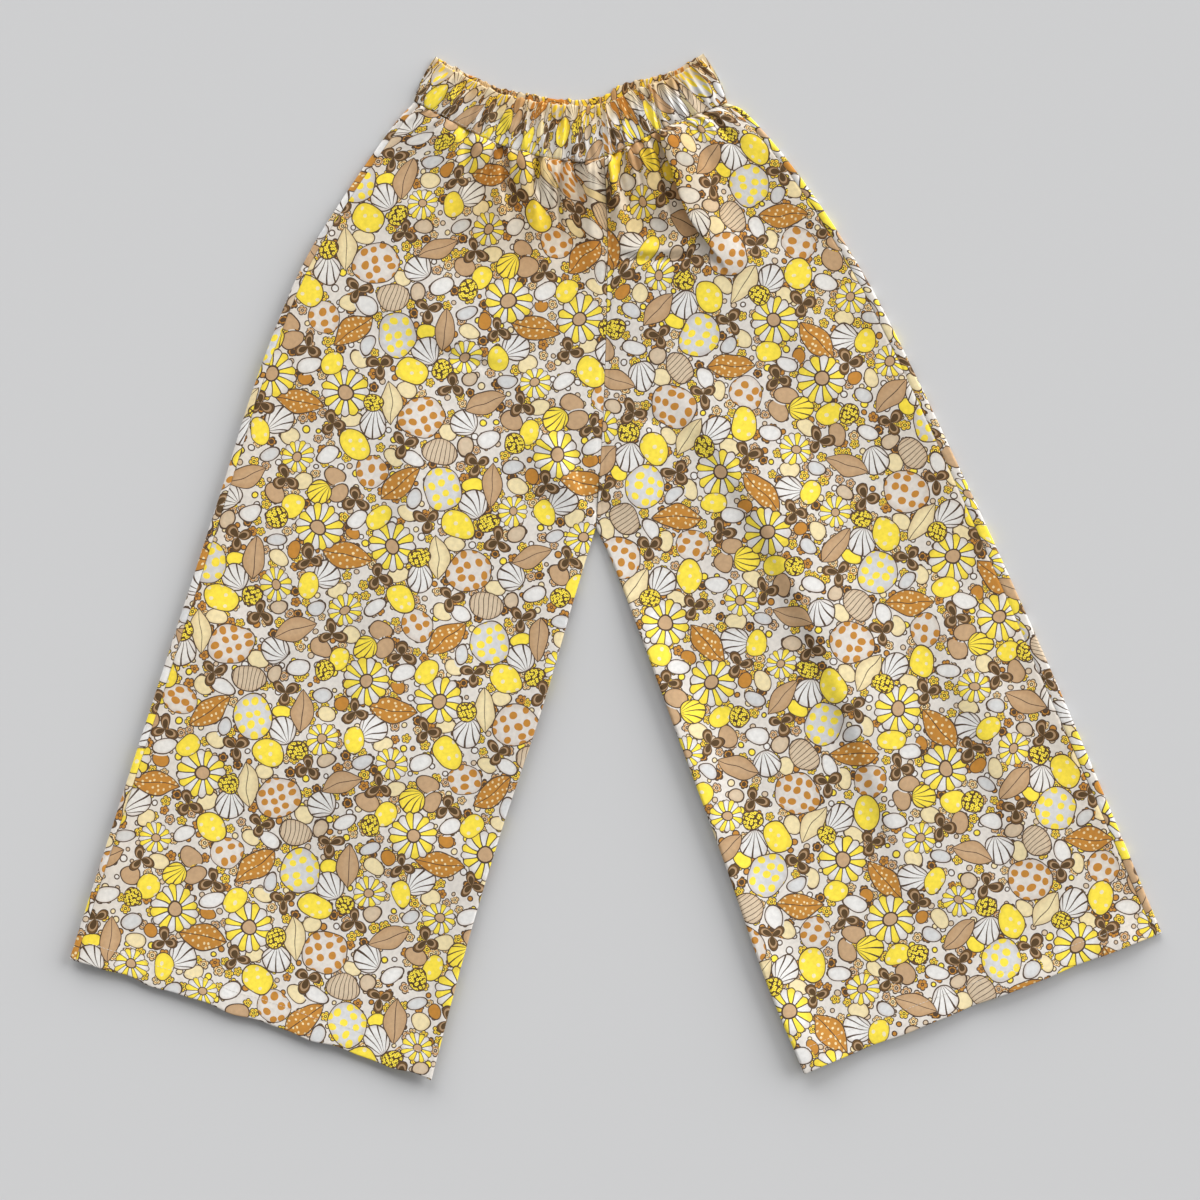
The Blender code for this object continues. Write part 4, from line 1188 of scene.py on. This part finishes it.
def make_band(which, top_points, seed, lift, face_ruche, under_ruche):
    end = BAND_WALL / distance_along(waist_line)[-1]
    share = np.concatenate((end * END_SHARES, np.linspace(end, 1.0 - end, BAND_STATIONS),
                            1.0 - end * END_SHARES[::-1]))
    to_side = np.minimum(share, 1.0 - share)
    up, wall = section[:, 0], section[:, 1]
    height, pinch = ruche_rows(seed, share[:, None], up[None, :])
    low = point_at(waist_line, share) + np.array([0.0, 0.5 * SEAM_GAP])
    high = point_at(smooth_line(top_points), share)
    scallop = TOP_SCALLOP * (height[:, np.argmax(up)] - SCALLOP_MEAN)
    high[:, 1] += scallop * ease(0.0, SCALLOP_FADE, to_side)
    outward = np.where(share < 0.5, -1.0, 1.0)
    bulge = SIDE_BULGE * outward * (1.0 - ease(0.0, BULGE_REACH, to_side))
    plan = low[:, None] + (high - low)[:, None] * up[None, :, None]
    plan[..., 0] += bulge[:, None] * np.sin(math.pi * up)[None]
    edge = 1.0 - (1.0 - np.clip(to_side / end, 0.0, 1.0)) ** 2
    edge = np.sqrt(np.clip(edge, LEAST_EDGE, 1.0))
    if lift > 0.0:
        z = lift + BAND_WALL * edge[:, None] * wall
    else:
        z = BAND_WALL * (1.0 - edge[:, None] * (1.0 - wall))
    swell = np.sin(math.pi * up) ** SWELL_POWER * ease(0.0, END_FADE, to_side)[:, None]
    z = z + face_ruche * height * np.clip(2.0 * wall - 1.0, 0.0, 1.0) * swell
    z = z + under_ruche * pinch * np.clip(1.0 - 2.0 * wall, 0.0, 1.0) * swell
    points = np.dstack((plan, z))

    ring = np.linalg.norm(np.roll(points, -1, axis=1) - points, axis=2)
    around = np.concatenate((np.zeros((len(share), 1)), np.cumsum(ring, axis=1)), axis=1)
    marks = print_on_band(which, share, low, pinch, around[:, -1:] - around)
    number = np.arange(points[..., 0].size).reshape(len(share), len(up))
    after = np.roll(number, -1, axis=1)
    faces = np.stack((number[1:], after[1:], after[:-1], number[:-1]), axis=-1).reshape(-1, 4)
    flat = np.stack((marks[1:, :-1], marks[1:, 1:], marks[:-1, 1:], marks[:-1, :-1]), axis=-2)
    flat = np.concatenate((flat.reshape(-1, 2), marks[0, :-1], marks[-1, :-1][::-1]))
    ends = [number[0].tolist(), number[-1][::-1].tolist()]
    # Painted warm shade along the top fold of the casing.
    shade_and_tint = np.tile(ease(*CASING_TOP_SHADE, up), len(share))
    piece = new_piece("casing_" + which, points.reshape(-1, 3).tolist(), faces.tolist() + ends,
                      (printed_cotton,), flat, shade_and_tint)
    return piece, points


section = band_section()
band_front, band_front_points = make_band("front", FRONT_BAND_TOP, CASING_SEED, BAND_LIFT,
                                          RUCHE_HEIGHT, FLAT_RUCHE_HEIGHT)
band_back, band_back_points = make_band("back", BACK_BAND_TOP, BACK_SEED, 0.0,
                                        FLAT_RUCHE_HEIGHT, BACK_RUCHE_HEIGHT)

# Cut: each half 0.435 m long, so that the waist stretches to 0.87 m round, and 50 mm deep.
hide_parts("waistband_front")
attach(band_front, "root")

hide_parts("waistband_back")
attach(band_back, "root")


# ---------------------------------------------------------------- stitches
# Machine stitches in off-white cotton thread, about 3 mm long.  One row holds the casing down
# just above its lower edge, and one row holds each hem 22 mm above its fold.
STITCH_LENGTH = 0.0027
STITCH_STEP = 0.0036
STITCH_SHARES = np.array([0.0, 0.12, 0.5, 0.88, 1.0])
STITCH_SIZES = (0.55, 1.0, 1.0, 1.0, 0.55)
STITCH_SIDES = 6
STITCH_WIDTH = 0.00022    # half the thread's width
STITCH_PROUD = 0.00006
STITCH_DIVE = 0.00030
STITCH_START = 0.002      # a row begins and ends this far from the cloth's edge
CASING_STITCH_UP = 0.045  # share of the casing's height
CASING_STITCH_END = 14    # stations of the casing left free at each end
THREAD_COLOUR = (0.600, 0.560, 0.500, 1.0)

thread = bpy.data.materials.new("off_white_thread")
thread.use_nodes = True
thread_shader = thread.node_tree.nodes["Principled BSDF"]
thread_shader.inputs["Base Color"].default_value = THREAD_COLOUR
thread_shader.inputs["Roughness"].default_value = 0.7


def sew_row(name, line, out):
    """One stitch after another along a line on the cloth, each a short six-sided bar with
    ends that turn down into the cloth."""
    run = distance_along(line)
    turns = [2 * math.pi * k / STITCH_SIDES for k in range(STITCH_SIDES)]
    corners, faces = [], []
    for i in range(int((run[-1] - 2 * STITCH_START) / STITCH_STEP)):
        length = STITCH_LENGTH * (1.0 + 0.08 * math.sin(2.7 * i))
        steps = STITCH_START + i * STITCH_STEP + length * STITCH_SHARES
        path = np.stack([np.interp(steps, run, line[:, k]) for k in range(3)], axis=-1)
        path[:, 2] += out * np.array([-STITCH_DIVE, 0.0, STITCH_PROUD, 0.0, -STITCH_DIVE])
        path[:, 2] = np.maximum(path[:, 2], STITCH_WIDTH)
        way = path[-1] - path[0]
        sideways = np.array([-way[1], way[0], 0.0]) / np.hypot(way[0], way[1])
        first = len(corners)
        for place, size in zip(path, STITCH_SIZES):
            for turn in turns:
                spread = math.cos(turn) * sideways + np.array([0.0, 0.0, math.sin(turn)])
                corners.append(tuple(place + size * STITCH_WIDTH * spread))
        for ring in range(first, len(corners) - STITCH_SIDES, STITCH_SIDES):
            for k in range(STITCH_SIDES):
                low, high = ring + k, ring + (k + 1) % STITCH_SIDES
                faces.append((low, high, high + STITCH_SIDES, low + STITCH_SIDES))
        faces.append(tuple(range(first + STITCH_SIDES - 1, first - 1, -1)))
        faces.append(tuple(range(len(corners) - STITCH_SIDES, len(corners))))
    row = new_piece(name, corners, faces, (thread,))
    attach(row, "root")


def low_on_band(side):
    """The column of the casing's points on one side of its wall, where the stitches run."""
    return side[np.argmin(np.abs(section[side, 0] - CASING_STITCH_UP))]


for name, (line, out) in hem_rows.items():
    sew_row("hem_stitches_" + name, line, out)

sewn = slice(CASING_STITCH_END, -CASING_STITCH_END)
on_face = low_on_band(np.flatnonzero(section[:, 1] >= 1.0))
on_back = low_on_band(np.flatnonzero(section[:, 1] <= 0.0))
sew_row("casing_stitches_front", band_front_points[sewn, on_face], 1.0)
sew_row("casing_stitches_back", band_back_points[sewn, on_back], -1.0)
